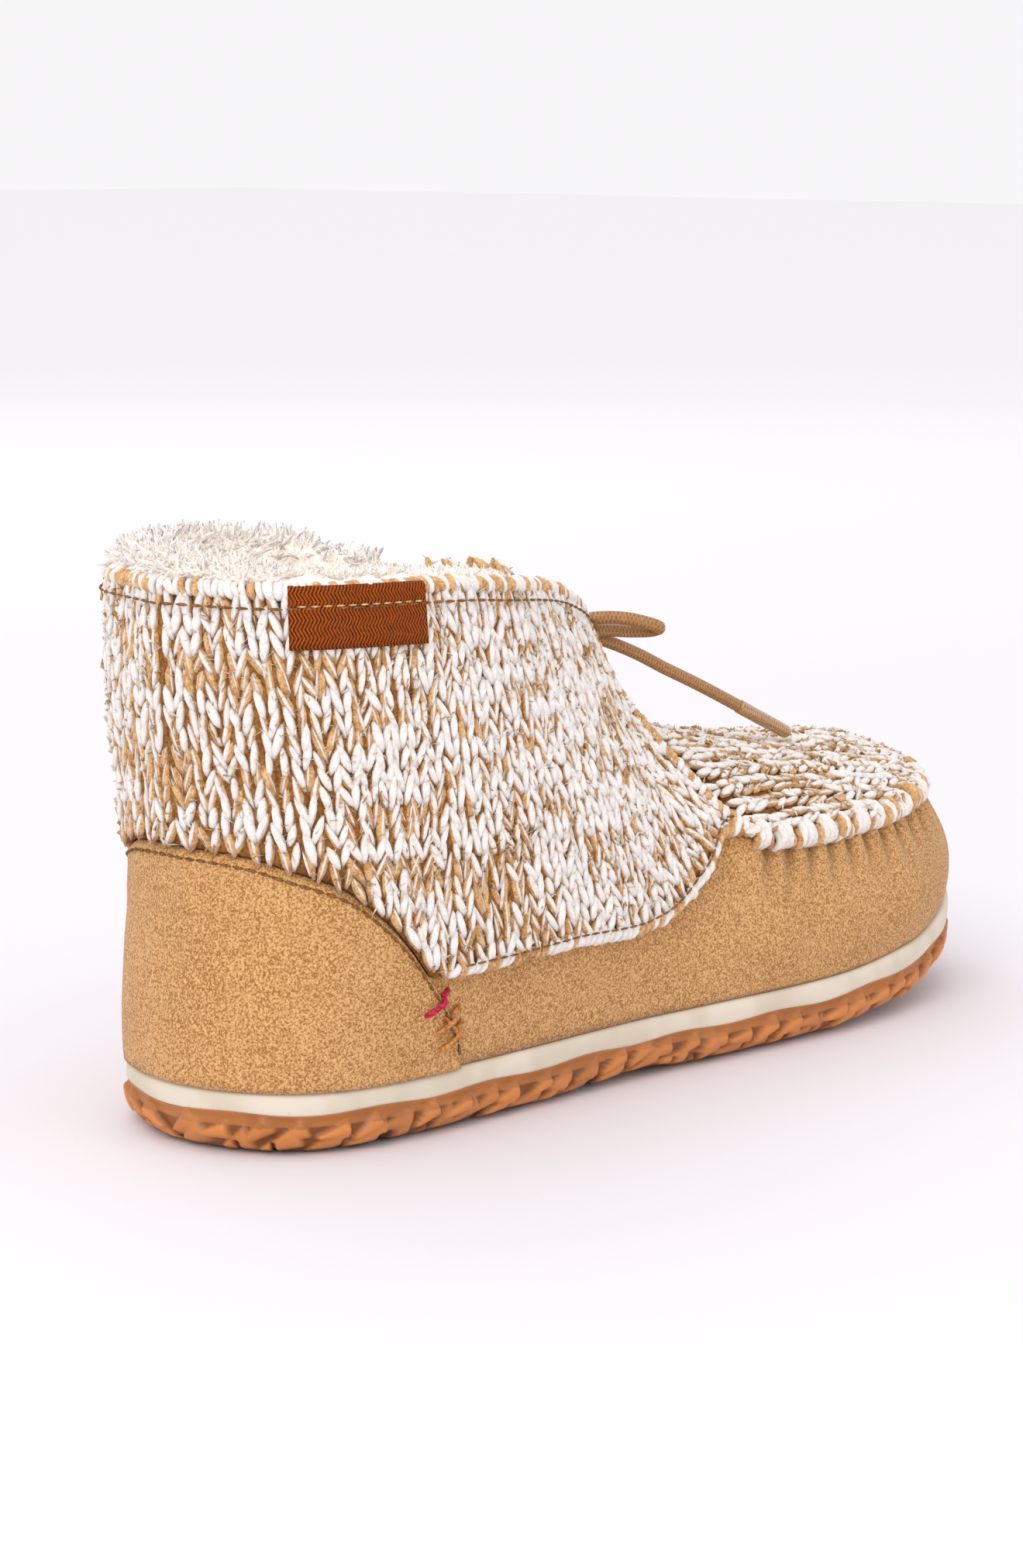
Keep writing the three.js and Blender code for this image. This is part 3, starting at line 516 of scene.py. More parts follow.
def copies_tree():
    tree = bpy.data.node_groups.new("place_copies", "GeometryNodeTree")
    for name, kind in (("Geometry", "Geometry"), ("Copy", "Object"), ("Finish", "Material"), ("Uneven", "Float")):
        tree.interface.new_socket(name, in_out="INPUT", socket_type=f"NodeSocket{kind}")
    tree.interface.new_socket("Geometry", in_out="OUTPUT", socket_type="NodeSocketGeometry")

    def add(kind, values=None, **settings):
        node = tree.nodes.new(kind)
        for key, value in settings.items():
            setattr(node, key, value)
        for key, value in (values or {}).items():
            node.inputs[key].default_value = value
        return node

    def field(name):
        node = add("GeometryNodeInputNamedAttribute", {"Name": name}, data_type="FLOAT_VECTOR")
        return next(s for s in node.outputs if s.enabled and s.name == "Attribute")

    start, end = add("NodeGroupInput").outputs, add("NodeGroupOutput").inputs
    shape = add("GeometryNodeObjectInfo")
    low = add("ShaderNodeMath", {0: 1}, operation="SUBTRACT")
    high = add("ShaderNodeMath", {0: 1}, operation="ADD")
    jitter = add("FunctionNodeRandomValue", {"Seed": 1}, data_type="FLOAT_VECTOR")
    size = add("ShaderNodeVectorMath", operation="MULTIPLY")
    copy = add("GeometryNodeInstanceOnPoints")
    real = add("GeometryNodeRealizeInstances")
    cover = add("GeometryNodeSetMaterial")
    for source, target in (
        (start["Copy"], shape.inputs["Object"]), (start["Uneven"], low.inputs[1]), (start["Uneven"], high.inputs[1]),
        (low.outputs[0], jitter.inputs["Min"]), (high.outputs[0], jitter.inputs["Max"]),
        (field("size"), size.inputs[0]), (jitter.outputs["Value"], size.inputs[1]),
        (start["Geometry"], copy.inputs["Points"]), (shape.outputs["Geometry"], copy.inputs["Instance"]),
        (field("turn"), copy.inputs["Rotation"]), (size.outputs[0], copy.inputs["Scale"]),
        (copy.outputs["Instances"], real.inputs["Geometry"]), (real.outputs["Geometry"], cover.inputs["Geometry"]),
        (start["Finish"], cover.inputs["Material"]), (cover.outputs["Geometry"], end["Geometry"]),
    ):
        tree.links.new(source, target)
    return tree


COPIES = copies_tree()


def euler(x, y, z):
    """XYZ angles of frames whose axes are the rows x, y and z."""
    return np.stack([
        np.arctan2(y[:, 2], z[:, 2]),
        np.arcsin(np.clip(-x[:, 2], -1, 1)),
        np.arctan2(x[:, 1], x[:, 0]),
    ], -1)


def place_copies(name, shape, points, axes, sizes, finish, uneven):
    """Copies of a unit shape at points in millimetres. axes are each copy's own x, y and z directions."""
    mesh = bpy.data.meshes.new(name)
    mesh.from_pydata(placed(points).tolist(), [], [])
    for key, rows in (("turn", euler(*axes)), ("size", np.broadcast_to(np.asarray(sizes, float) * MM, points.shape))):
        mesh.attributes.new(key, "FLOAT_VECTOR", "POINT").data.foreach_set("vector", rows.astype(np.float32).ravel())
    piece = in_scene(name, mesh)
    modifier = piece.modifiers.new("copies", "NODES")
    modifier.node_group = COPIES
    values = {"Copy": shape, "Finish": finish, "Uneven": uneven}
    for item in COPIES.interface.items_tree:
        if item.in_out == "INPUT" and item.name in values:
            modifier[item.identifier] = values[item.name]
    made = bpy.data.meshes.new_from_object(piece.evaluated_get(bpy.context.evaluated_depsgraph_get()))
    piece.modifiers.clear()
    piece.data = made
    made.shade_smooth()
    return piece


SHAPES = []


def unit_shape(name, path, radius, sides):
    """A unit tube to make copies of, left in its own units and deleted at the end."""
    points, faces, uv = tube_mesh(path, radius, sides)
    mesh = bpy.data.meshes.new(name)
    mesh.from_pydata(points.tolist(), [], [tuple(f) for f in faces])
    add_weave(mesh, uv)
    turn_outward(mesh)
    mesh.shade_smooth()
    SHAPES.append(in_scene(name, mesh))
    return SHAPES[-1]


def spindle(name, sides, rings, bow, lean):
    """A leg of yarn: one long, fat in the middle, its ends bent back."""
    y = np.linspace(-0.5, 0.5, rings)
    path = stack(0 * y, y, bow * (np.cos(np.pi * y) - 0.35) - lean * y)
    radius = 0.5 * np.maximum(0.42, np.cos(np.pi * y) ** 0.38)
    return unit_shape(name, path, radius, sides)


def hook(name, sides, rings):
    """A loop of yarn that turns over an edge: half a circle of radius one, from outside to inside."""
    a = np.linspace(-0.35 * np.pi, 1.0 * np.pi, rings)
    path = stack(0 * a, np.sin(a), np.cos(a))
    radius = 0.5 * np.maximum(0.35, np.sin(np.linspace(0.12, 0.92, rings) * np.pi) ** 0.5)
    return unit_shape(name, path, radius, sides)


def wisp(name, sides, rings, curl):
    """A tapering tuft of fibre that starts at the origin and leans over along y as it rises along z."""
    s = np.linspace(0, 1, rings)
    path = stack(curl * 0.3 * np.sin(2.6 * s), curl * s ** 1.7, s)
    radius = 0.5 * (1 - 0.86 * s ** 1.3)
    return unit_shape(name, path, radius, sides)


# Shader sockets with arithmetic

class Wire:
    """A shader socket that takes plus, minus and times."""

    def __init__(self, finish, socket):
        self.finish, self.socket = finish, socket

    def math(self, operation, other, swapped=False):
        pair = (other, self) if swapped else (self, other)
        return self.finish.node("ShaderNodeMath", {"operation": operation}, dict(enumerate(pair)))

    def __add__(self, other): return self.math("ADD", other)
    def __radd__(self, other): return self.math("ADD", other, True)
    def __sub__(self, other): return self.math("SUBTRACT", other)
    def __rsub__(self, other): return self.math("SUBTRACT", other, True)
    def __mul__(self, other): return self.math("MULTIPLY", other)


def paint(code):
    """Linear colour of an sRGB hex code."""
    channels = [int(code[i:i + 2], 16) / 255 for i in (0, 2, 4)]
    return tuple(c / 12.92 if c <= 0.04045 else ((c + 0.055) / 1.055) ** 2.4 for c in channels) + (1.0,)


class Finish:
    """A material that is built node by node."""

    def __init__(self, name, **constants):
        self.material = bpy.data.materials.new(name)
        self.material.use_nodes = True
        self.tree = self.material.node_tree
        self.tree.nodes.clear()
        self.shader = self.tree.nodes.new("ShaderNodeBsdfPrincipled")
        output = self.tree.nodes.new("ShaderNodeOutputMaterial")
        self.tree.links.new(self.shader.outputs[0], output.inputs["Surface"])
        for key, value in constants.items():
            self.shader.inputs[key.replace("_", " ")].default_value = value

    def node(self, kind, settings=None, values=None, out=0):
        node = self.tree.nodes.new(kind)
        for key, value in (settings or {}).items():
            setattr(node, key, value)
        for key, value in (values or {}).items():
            if isinstance(value, Wire):
                self.tree.links.new(value.socket, node.inputs[key])
            else:
                node.inputs[key].default_value = value
        return Wire(self, node.outputs[out])

    def mix(self, factor, a, b):
        return self.node("ShaderNodeMix", {"data_type": "RGBA"}, {0: factor, 6: a, 7: b}, out=2)

    def step(self, value, low, high):
        return self.node("ShaderNodeMapRange", {"interpolation_type": "SMOOTHSTEP"},
                         {"Value": value, "From Min": low, "From Max": high})

    def spot(self):
        return self.node("ShaderNodeTexCoord", out="Object")

    def weave(self):
        return self.node("ShaderNodeUVMap", {"uv_map": "weave"})

    def weave_part(self, axis):
        return self.node("ShaderNodeSeparateXYZ", None, {0: self.weave()}, out=axis)

    def field(self, name):
        return self.node("ShaderNodeAttribute", {"attribute_name": name}, out="Fac")

    def noise(self, where, scale, detail=2.0, rough=0.55):
        return self.node("ShaderNodeTexNoise", None,
                         {"Vector": where, "Scale": scale, "Detail": detail, "Roughness": rough})

    def grains(self, *rows):
        """Noises over the object from their scale, detail and roughness."""
        spot = self.spot()
        return [self.noise(spot, *row) for row in rows]

    def shades(self, tone, low, high, dark, light):
        """A colour that turns from dark to light as the tone goes from low to high."""
        return self.mix(self.step(tone, low, high), paint(dark), paint(light))

    def tint(self, colour, share, code):
        return self.mix(share, colour, paint(code))

    def stretch(self, where, factors):
        return self.node("ShaderNodeMapping", None, {"Vector": where, "Scale": factors})

    def feed(self, socket, wire):
        self.tree.links.new(wire.socket, self.shader.inputs[socket])

    def painted_glow(self, colour):
        """The colour of a soft white, also fed to the emission: painted light that makes it shine by itself."""
        self.feed("Base Color", colour)
        self.feed("Emission Color", colour)

    def bump(self, height, distance, strength=1.0):
        self.feed("Normal", self.node("ShaderNodeBump", None,
                                      {"Height": height, "Distance": distance, "Strength": strength}))


def suede_finish():
    f = Finish("suede", Roughness=0.95, Sheen_Weight=0.15, Sheen_Roughness=0.5, Specular_IOR_Level=0.15)
    grain, nap, cloud = f.grains((2100, 3, 0.75), (900, 3, 0.7), (60, 2, 0.5))
    colour = f.shades(grain * 0.8 + nap * 0.14 + cloud * 0.06, 0.43, 0.56, "9e6c36", "deae76")
    colour = f.tint(colour, f.step(grain, 0.6, 0.74) * 0.55, "f3d2a3")
    # Darker brown in the troughs of the creases: painted shade.
    f.feed("Base Color", f.tint(colour, f.field("crease_shade") * 0.75, "6b431e"))
    f.bump(grain * 0.7 + nap * 0.5, 0.0004, 0.7)
    return f.material


def tan_yarn_finish():
    f = Finish("tan_yarn", Roughness=1.0, Sheen_Weight=0.35, Sheen_Roughness=0.5, Specular_IOR_Level=0.05)
    fuzz, tuft, patch = f.grains((1900, 3, 0.75), (520, 2, 0.6), (90, 2, 0.5))
    colour = f.shades(fuzz * 0.5 + tuft * 0.35 + patch * 0.15, 0.38, 0.62, "bb8145", "f1c68e")
    f.feed("Base Color", f.tint(colour, f.step(fuzz, 0.55, 0.7) * 0.45, "f3dcb2"))
    f.bump(fuzz * 0.7 + tuft * 0.5, 0.0007, 0.8)
    return f.material


def white_yarn_finish():
    # The white yarn's faint emission is painted light.
    f = Finish("white_yarn", Roughness=1.0, Sheen_Weight=0.2, Sheen_Roughness=0.4, Specular_IOR_Level=0.05,
               Subsurface_Weight=0.15, Subsurface_Radius=(0.002, 0.002, 0.002), Subsurface_Scale=1.0,
               Emission_Strength=0.03)
    fibre = f.noise(f.stretch(f.weave(), (7, 1.2, 1)), 3, 3, 0.7)
    fuzz, = f.grains((1300, 3, 0.7))
    f.painted_glow(f.shades(fuzz * 0.5 + fibre * 0.5, 0.33, 0.56, "e6d8c9", "fdf9f5"))
    f.bump(fibre * 0.6 + fuzz * 0.6, 0.0005, 0.7)
    return f.material


def fuzz_finish():
    f = Finish("yarn_fuzz", Roughness=1.0, Specular_IOR_Level=0.05)
    f.feed("Base Color", f.shades(f.noise(f.spot(), 160, 1), 0.4, 0.6, "cf9d60", "fbf1e2"))
    return f.material


# The knit's backing is dark brown: painted shade of the gaps between the stitches' legs and wales.
def ground_shade_finish():
    f = Finish("knit_ground_shade", Roughness=1.0, Specular_IOR_Level=0.05)
    fuzz, tuft = f.grains((1500, 4, 0.75), (480, 2, 0.6))
    f.feed("Base Color", f.shades(fuzz * 0.6 + tuft * 0.4, 0.37, 0.62, "7a4e2a", "bc8850"))
    f.bump(fuzz * 0.6 + tuft * 0.5, 0.0012)
    return f.material


def fleece_finish(name, dark, light, painted_glow):
    # Emission in the fleece's own colour: painted light.
    f = Finish(name, Roughness=1.0, Sheen_Weight=0.3, Sheen_Roughness=0.6, Specular_IOR_Level=0.05,
               Subsurface_Weight=0.25, Subsurface_Radius=(0.004, 0.004, 0.0035), Subsurface_Scale=1.0,
               Emission_Strength=painted_glow)
    curl, fine = f.grains((330, 3, 0.6), (1500, 2, 0.6))
    f.painted_glow(f.shades(curl * 0.6 + fine * 0.4, 0.3, 0.56, dark, light))
    f.bump(curl * 0.7 + fine * 0.4, 0.0012, 0.7)
    return f.material


def foam_finish():
    f = Finish("cream_foam", Roughness=0.55, Specular_IOR_Level=0.35)
    cloud, grit = f.grains((70, 2, 0.5), (1000, 3, 0.6))
    dirt = f.step(grit, 0.6, 0.74) * (1 - f.step(f.field("low"), 0.0, 0.3))
    f.feed("Base Color", f.tint(f.shades(cloud, 0.35, 0.65, "d3c7b2", "e0d5c4"), dirt * 0.5, "8d6b48"))
    f.bump(cloud * 0.6 + grit * 0.15, 0.0004, 0.3)
    return f.material


def gum_finish():
    f = Finish("gum_rubber", Roughness=0.42, Coat_Weight=0.15, Coat_Roughness=0.35, Specular_IOR_Level=0.4,
               Subsurface_Weight=0.2, Subsurface_Radius=(0.003, 0.0015, 0.0007), Subsurface_Scale=1.0)
    cloud, grit = f.grains((90, 3, 0.6), (1200, 2, 0.6))
    # Lighter on the lugs' faces and darker between the lugs, in the notches and in the tread's grooves: painted light
    # and shade.
    colour = f.shades(f.field("proud") + (cloud - 0.5) * 0.4, -0.1, 0.9, "5e3110", "d28440")
    f.feed("Base Color", f.tint(colour, f.step(cloud, 0.56, 0.72) * 0.35, "9c6b48"))
    f.feed("Roughness", 0.34 + grit * 0.25)
    f.bump(cloud * 0.5 + grit * 0.3, 0.0003, 0.35)
    return f.material


def cord_finish(name, dark, light, **gloss):
    f = Finish(name, Specular_IOR_Level=0.4, **gloss)
    run = f.weave_part(1) * 7.0
    turn = f.weave_part(0) * (4 * math.pi)
    braid = (run + turn).math("SINE", 0).math("MAXIMUM", (run - turn).math("SINE", 0))
    fine, = f.grains((1800, 2, 0.6))
    f.feed("Base Color", f.shades(braid * 0.22 + fine * 0.8, 0.2, 0.75, dark, light))
    f.bump(braid * 0.7 + fine * 0.3, 0.00015, 0.5)
    return f.material


def satin_finish():
    f = Finish("satin_tape", Roughness=0.55, Specular_IOR_Level=0.12)
    zig = (f.weave_part(1) * 0.55).math("PINGPONG", 1.0)
    twill = (f.weave_part(0) * 8.0 + zig * 8.0).math("SINE", 0)
    fine, = f.grains((1500, 2, 0.6))
    f.feed("Base Color", f.shades(twill * 0.4 + fine * 0.8, -0.1, 0.9, "3c1300", "ad520a"))
    f.bump(twill * 0.6 + fine * 0.4, 0.0002, 0.7)
    return f.material


def thread_finish(name, dark, light):
    f = Finish(name, Roughness=0.7, Specular_IOR_Level=0.35)
    twist, = f.grains((1600, 2, 0.6))
    f.feed("Base Color", f.shades(twist, 0.35, 0.65, dark, light))
    f.bump(twist, 0.0002, 0.6)
    return f.material


SUEDE = suede_finish()
TAN = tan_yarn_finish()
WHITE = white_yarn_finish()
GROUND_SHADE = ground_shade_finish()
FUZZ = fuzz_finish()
# The fleeces' last numbers are the strengths of their emission: painted light.
FLEECE = fleece_finish("rim_fleece", "e8dace", "f4ece4", 0.28)
# The lining is a darker, creamier copy of the rim fleece with less emission: painted shade inside the boot.
LINING_SHADE = fleece_finish("lining_fleece_shade", "dfc7a8", "f0ddc7", 0.19)
FOAM = foam_finish()
GUM = gum_finish()
LACE = cord_finish("waxed_lace", "8a5a2e", "b98a55", Roughness=0.5, Coat_Weight=0.2, Coat_Roughness=0.35)
CLEAR = cord_finish("clear_tip", "8d5c30", "c79866", Roughness=0.3, Coat_Weight=1.0, Coat_Roughness=0.05)
SATIN = satin_finish()
BROWN_THREAD = thread_finish("brown_thread", "5f3b19", "966632")
TAN_THREAD = thread_finish("tan_thread", "a0622a", "d39350")
PALE_THREAD = thread_finish("pale_thread", "b98f58", "e6c896")
RED_THREAD = thread_finish("red_thread", "8e0f2d", "d62a4e")


# Camera at the photograph's viewing angle, light and floor

CAMERA_PLACE = (-526.7, -541.3, 209.1)
CAMERA_YAW = 0.807
CAMERA_TURN = math.radians(3.2)
CAMERA_DIP = 0.174
CAMERA_ROLL = 0.007
FOCAL_PIXELS = 4800
IMAGE_HEIGHT = 2024
SENSOR = 36.0


def make_camera():
    camera = in_scene("camera", bpy.data.cameras.new("camera"))
    camera.data.sensor_width = SENSOR
    camera.data.lens = FOCAL_PIXELS / IMAGE_HEIGHT * SENSOR
    yaw = CAMERA_YAW + CAMERA_TURN
    ahead = Vector((math.sin(yaw) * math.cos(CAMERA_DIP), math.cos(yaw) * math.cos(CAMERA_DIP),
                    -math.sin(CAMERA_DIP)))
    turn = ahead.to_track_quat("-Z", "Y").to_matrix().to_4x4()
    camera.matrix_world = Matrix.Translation(placed(CAMERA_PLACE)) @ turn @ Matrix.Rotation(CAMERA_ROLL, 4, "Z")
    bpy.context.scene.camera = camera


# Name, place, size and power of each soft light
LIGHTS = (("key", (-1.2, -0.5, 0.9), 0.9, 8), ("side", (0.2, -1.5, 0.9), 0.9, 1.5), ("back", (0.5, 1.1, 1.3), 1.2, 4))
LIGHT_AIM = Vector((0, 0, 0.05))
SKY_COLOUR = (1, 0.985, 1, 1)
SKY_STRENGTH = 0.94
FLOOR_REACH = 9
FLOOR_DROP = 0.0006


def soft_light(name, place, size, power):
    lamp = in_scene(name, bpy.data.lights.new(name, "AREA"))
    lamp.data.size = size
    lamp.data.energy = power
    lamp.location = place
    lamp.rotation_mode = "QUATERNION"
    lamp.rotation_quaternion = (LIGHT_AIM - Vector(place)).to_track_quat("-Z", "Y")


def make_studio():
    """Even light from all sides, three soft lights and a pale floor painted darker near the boot and lighter away
    from it: painted light that evens out the lamps' falloff.
    """
    world = bpy.data.worlds.new("studio")
    bpy.context.scene.world = world
    world.use_nodes = True
    sky = world.node_tree.nodes["Background"].inputs
    sky["Color"].default_value = SKY_COLOUR
    sky["Strength"].default_value = SKY_STRENGTH
    for light in LIGHTS:
        soft_light(*light)
    bpy.context.scene.view_settings.view_transform = "Standard"
    f = Finish("pale_floor", Roughness=0.9)
    # Painted light: the floor's colour lightens with distance from the boot.
    distance = f.node("ShaderNodeVectorMath", {"operation": "LENGTH"}, {0: f.spot()}, out=1)
    near = f.mix(f.noise(f.spot(), 3, 1), paint("ebe8ed"), paint("efecf1"))
    f.feed("Base Color", f.tint(near, f.step(distance, 0.3, 1.8), "fbf8fc"))
    mesh = bpy.data.meshes.new("floor")
    corners = [(x * FLOOR_REACH, y * FLOOR_REACH, 0) for x, y in ((-1, -1), (1, -1), (1, 1), (-1, 1))]
    mesh.from_pydata(corners, [], [(0, 1, 2, 3)])
    mesh.materials.append(f.material)
    floor = in_scene("floor", mesh)
    floor.location.z = -FLOOR_DROP


# Lace

LACE_STEP = 0.7
KNOT_TURNS = 2.2


def mirrored(points):
    return [(x, -y, z) for x, y, z in points]


def lace_tube(name, route, node):
    path = smooth_path(route, LACE_STEP)
    points, faces, uv = tube_mesh(path, LACE_DIAMETER / 2, 12)
    return finished(new_piece(name, points, faces, LACE, uv=uv), "cord", node), path


def path_length(path):
    return float(run_along(path)[-1]) * MM


def finished(piece, slot, *nodes):
    """A piece rides on the one body and stands for CAD nodes. Its slot is not used."""
    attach(piece, "root")
    if nodes:
        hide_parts(*nodes)
    return piece


def aglet(name, route, node):
    tip, before = np.array(route[-1], float), np.array(route[-2], float)
    heading = unit(tip - before)
    start = tip + heading * GAP
    path = np.array([start + heading * AGLET_LENGTH * s for s in (0, 0.03, 0.25, 0.5, 0.75, 0.97, 1)])
    radius = AGLET_DIAMETER / 2 * np.array([0.85, 1, 1, 1, 1, 0.98, 0.82])
    points, faces, uv = tube_mesh(path, radius, 16)
    return finished(new_piece(name, points, faces, CLEAR, uv=uv), "clear", node)


def lace_knot():
    """Two turns of lace round the middle of the bow."""
    t = np.linspace(0, 2 * np.pi * KNOT_TURNS, 90)
    route = stack(
        KNOT_PLACE[0] + 1.25 * np.cos(t) + 0.1 * t - 0.7,
        KNOT_PLACE[1] + 2.1 * np.sin(t * 0.5 + 0.4),
        KNOT_PLACE[2] + 1.3 * np.sin(t),
    )
    points, faces, uv = tube_mesh(route, LACE_DIAMETER * 0.42, 10)
    return finished(new_piece("knot_of_lace", points, faces, LACE, uv=uv, mend=False), "cord", "lace_knot")


def make_lace():
    knot = lace_knot()
    for side, turn in (("lateral", lambda p: p), ("medial", mirrored)):
        route = turn(LACE_LOOP)
        piece, path = lace_tube(f"bow_loop_{side}", route, f"lace_loop_{side}")
        placed(path[0])
        path_length(path)
        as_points(placed(path))
        route = LACE_END[side]
        tip = aglet(f"lace_tip_{side}", route, f"aglet_{side}")
        piece, path = lace_tube(f"bow_end_{side}", route, f"lace_end_{side}")
        placed(path[0])
        path_length(path)
        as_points(placed(path))
    lace_tube("lace_across", LACE_BAR, "lace_bar")


# Sole

# Height above the tread, pitch and size of each row of lugs round the side
LUG_ROWS = ((1.8, 9.4, 1.0), (4.3, 8.3, 0.85))
LUG_LENGTH = (4.4, 5.8)
LUG_THICKNESS = (2.8, 3.6)
LUG_RISE = 2.0
NOTCH_PITCH = 12.5
NOTCH_DEPTH = 2.2
NOTCH_HEIGHT = 2.9
GROOVE_DEPTH = 1.5
TREAD_LENGTH = 13.0
TREAD_WIDTH = 9.0
TREAD_SLANT = 0.35
MIDSOLE_WALL = 14.0
SEAM_GAP = 0.04
# Shares of the height of the sole's side and how far its face stands out there
OUTSOLE_PROFILE = curve([0, 0.16, 0.5, 1], [-OUTSOLE_INSET, -OUTSOLE_INSET * 0.45, SOLE_LIP * 0.25, SOLE_LIP * 0.95])
MIDSOLE_PROFILE = np.array([
    (0, 1.2), (0.05, 1.35), (0.15, 1.45), (0.3, 1.5), (0.45, 1.52), (0.6, 1.5), (0.72, 1.4), (0.82, 1.25),
    (0.9, 1.05), (0.96, 0.8), (1, 0.4),
])


def sole_cap(ring, rim, base, half):
    """Points across a closed outline and the faces that fill it. rim and base are the first indices of both."""
    columns = len(ring)
    middle = range(1, columns // 2)
    share = (np.arange(1, half) / half)[:, None]
    points = np.vstack([ring[i] + (ring[columns - i] - ring[i]) * share for i in middle])
    index = [[rim + i, *range(base + (i - 1) * (half - 1), base + i * (half - 1)), rim + columns - i] for i in middle]
    faces = [(a[j], b[j], b[j + 1], a[j + 1]) for a, b in zip(index[:-1], index[1:]) for j in range(half)]
    faces += [(rim, index[0][j], index[0][j + 1]) for j in range(half)]
    faces += [(rim + columns // 2, index[-1][j + 1], index[-1][j]) for j in range(half)]
    return points, faces


def lug_height(run, z):
    """How proud the wedge-shaped lugs stand at places along the outline and heights above the tread."""
    r = np.random.default_rng(23)
    proud = np.zeros(run.shape)
    for level, pitch, size in LUG_ROWS:
        count = round(OUTLINE_RUN / pitch)
        for i in range(count):
            at = OUTLINE_RUN * (i + r.uniform(-0.18, 0.18) + 0.37 * level) / count
            side = -1 if w_at_run(at) < 0 else 1
            slant = side * r.uniform(0.0, 0.7)
            long, thick, high = r.uniform(*LUG_LENGTH) * size, r.uniform(*LUG_THICKNESS) * size, r.uniform(0.6, 1)
            d = (run - at + OUTLINE_RUN / 2) % OUTLINE_RUN - OUTLINE_RUN / 2
            h = z - level - r.uniform(-0.3, 0.3)
            u = d * math.cos(slant) + h * math.sin(slant)
            v = h * math.cos(slant) - d * math.sin(slant)
            taper = 0.2 + 0.8 * np.clip(0.5 + side * u / (2 * long), 0, 1)
            dome = np.sqrt(np.clip(1 - (v / (thick * taper)) ** 2, 0, 1))
            proud = np.maximum(proud, high * dome * np.clip((1 - np.abs(u / long)) * 4, 0, 1))
    return proud


def tread_notches(run, z):
    """1 in the short cuts that open at the floor between the lugs of the tread's rim."""
    count = round(OUTLINE_RUN / NOTCH_PITCH)
    phase = (run / OUTLINE_RUN * count + 0.2 * np.sin(run * 0.31)) % 1
    return np.clip(1.5 - np.abs(phase - 0.5) * 20, 0, 1) * np.clip((NOTCH_HEIGHT - z) * 1.5, 0, 1)


def make_outsole():
    columns, rows = 780, 29
    w = loop_steps(columns)
    s = np.linspace(0, 1, rows)
    offset = OUTSOLE_PROFILE(s)
    ww = np.repeat(w[:, None], rows, 1)
    low = tread_height(ww)
    top = OUTSOLE + wave_at(ww) - SEAM_GAP / 2 + sole_rise(ww)
    z = low + (top - low) * s[None, :]
    proud = lug_height(run_at(ww), z - low)
    notch = tread_notches(run_at(ww), z - low)
    fade = np.clip((1 - s) * 6, 0, 1) * np.clip(s * 9, 0.25, 1)
    out = offset[None, :] + (proud * LUG_RISE - 0.5) * fade[None, :] - notch * NOTCH_DEPTH
    # Tone for the gum: lug faces painted lighter, gaps between lugs and notches painted darker; painted light and
    # shade.
    proud = np.where(z - low > 6, 0.5, proud * 0.7 + 0.2) - notch
    side = outline_point(ww, out, z)
    points = [side.transpose(1, 0, 2).reshape(-1, 3)]
    fields = [proud.T.ravel()]
    faces = ring_faces(rows, columns, False)
    for level, half in ((0, 46), (rows - 1, 5)):
        cap, more = sole_cap(side[:, level], level * columns, sum(len(p) for p in points), half)
        lug = tread_pattern(cap)
        if level == 0:
            cap[:, 2] += (1 - lug) * GROOVE_DEPTH
        points.append(cap)
        # Tone of the tread: painted shade in its grooves, lighter on its lugs.
        fields.append(lug * 0.55)
        faces += more
    fields = {"proud": np.concatenate(fields)}
    finished(new_piece("gum_outsole", np.vstack(points), faces, GUM, fields=fields), "gum", "outsole")


def tread_pattern(p):
    """1 on the leaf-shaped lugs of the tread and 0 in the grooves between them."""
    u = p[:, 0] / TREAD_LENGTH
    v = (p[:, 1] + TREAD_SLANT * p[:, 0] * np.sign(p[:, 1])) / TREAD_WIDTH
    d = (np.abs((u + 0.5 * np.floor(v)) % 1 - 0.5) * 2) ** 1.6 + (np.abs(v % 1 - 0.5) * 2) ** 1.6
    return np.clip((1.05 - d) * 4, 0, 1)


def make_midsole():
    columns = 500
    w = loop_steps(columns)
    s, offset = MIDSOLE_PROFILE.T
    ww = np.repeat(w[:, None], len(s), 1)
    low = OUTSOLE + wave_at(ww) + SEAM_GAP / 2 + sole_rise(ww)
    z = low + (SOLE_TOP + sole_rise(ww) - low) * s[None, :]
    soft = ripple(outline_point(ww, 0, z), 22, seed=5) * 0.18
    rings = outline_point(ww, offset[None, :] + soft, z)
    inner = outline_point(ww, -MIDSOLE_WALL, z)[:, ::-1]
    both = np.concatenate([rings, inner], 1)
    low_field = np.concatenate([np.repeat(s[None, :], columns, 0), np.repeat(s[None, ::-1], columns, 0)], 1)
    piece = ring_piece("cream_midsole", both, True, FOAM, fields={"low": low_field})
    finished(piece, "foam", "midsole")


def make_insole():
    columns, half = 240, 20
    w = loop_steps(columns)
    inset = UPPER_WALL + GAP
    levels = [(-inset, 0.0), (-inset, INSOLE * 0.7), (-inset - 0.7, INSOLE)]
    rings = [outline_point(w, o, FEATHER_BASE + sole_rise(w) + h) for o, h in levels]
    points = [np.vstack(rings)]
    faces = ring_faces(len(rings), columns, False)
    for level in (0, 2):
        cap, more = sole_cap(rings[level], level * columns, sum(len(p) for p in points), half)
        if level:
            cap[:, 2] += ripple(cap, 9, seed=8) * 0.7
        points.append(cap)
        faces += more
    finished(new_piece("fleece_insole", np.vstack(points), faces, LINING_SHADE), "fleece", "insole")


# Suede

# Slant, length and width of the creases below the gathers
FOLD_SLANT = 0.045
FOLD_LENGTH = 0.24
FOLD_WIDTH = 0.2
LINING_PILE = 1.5


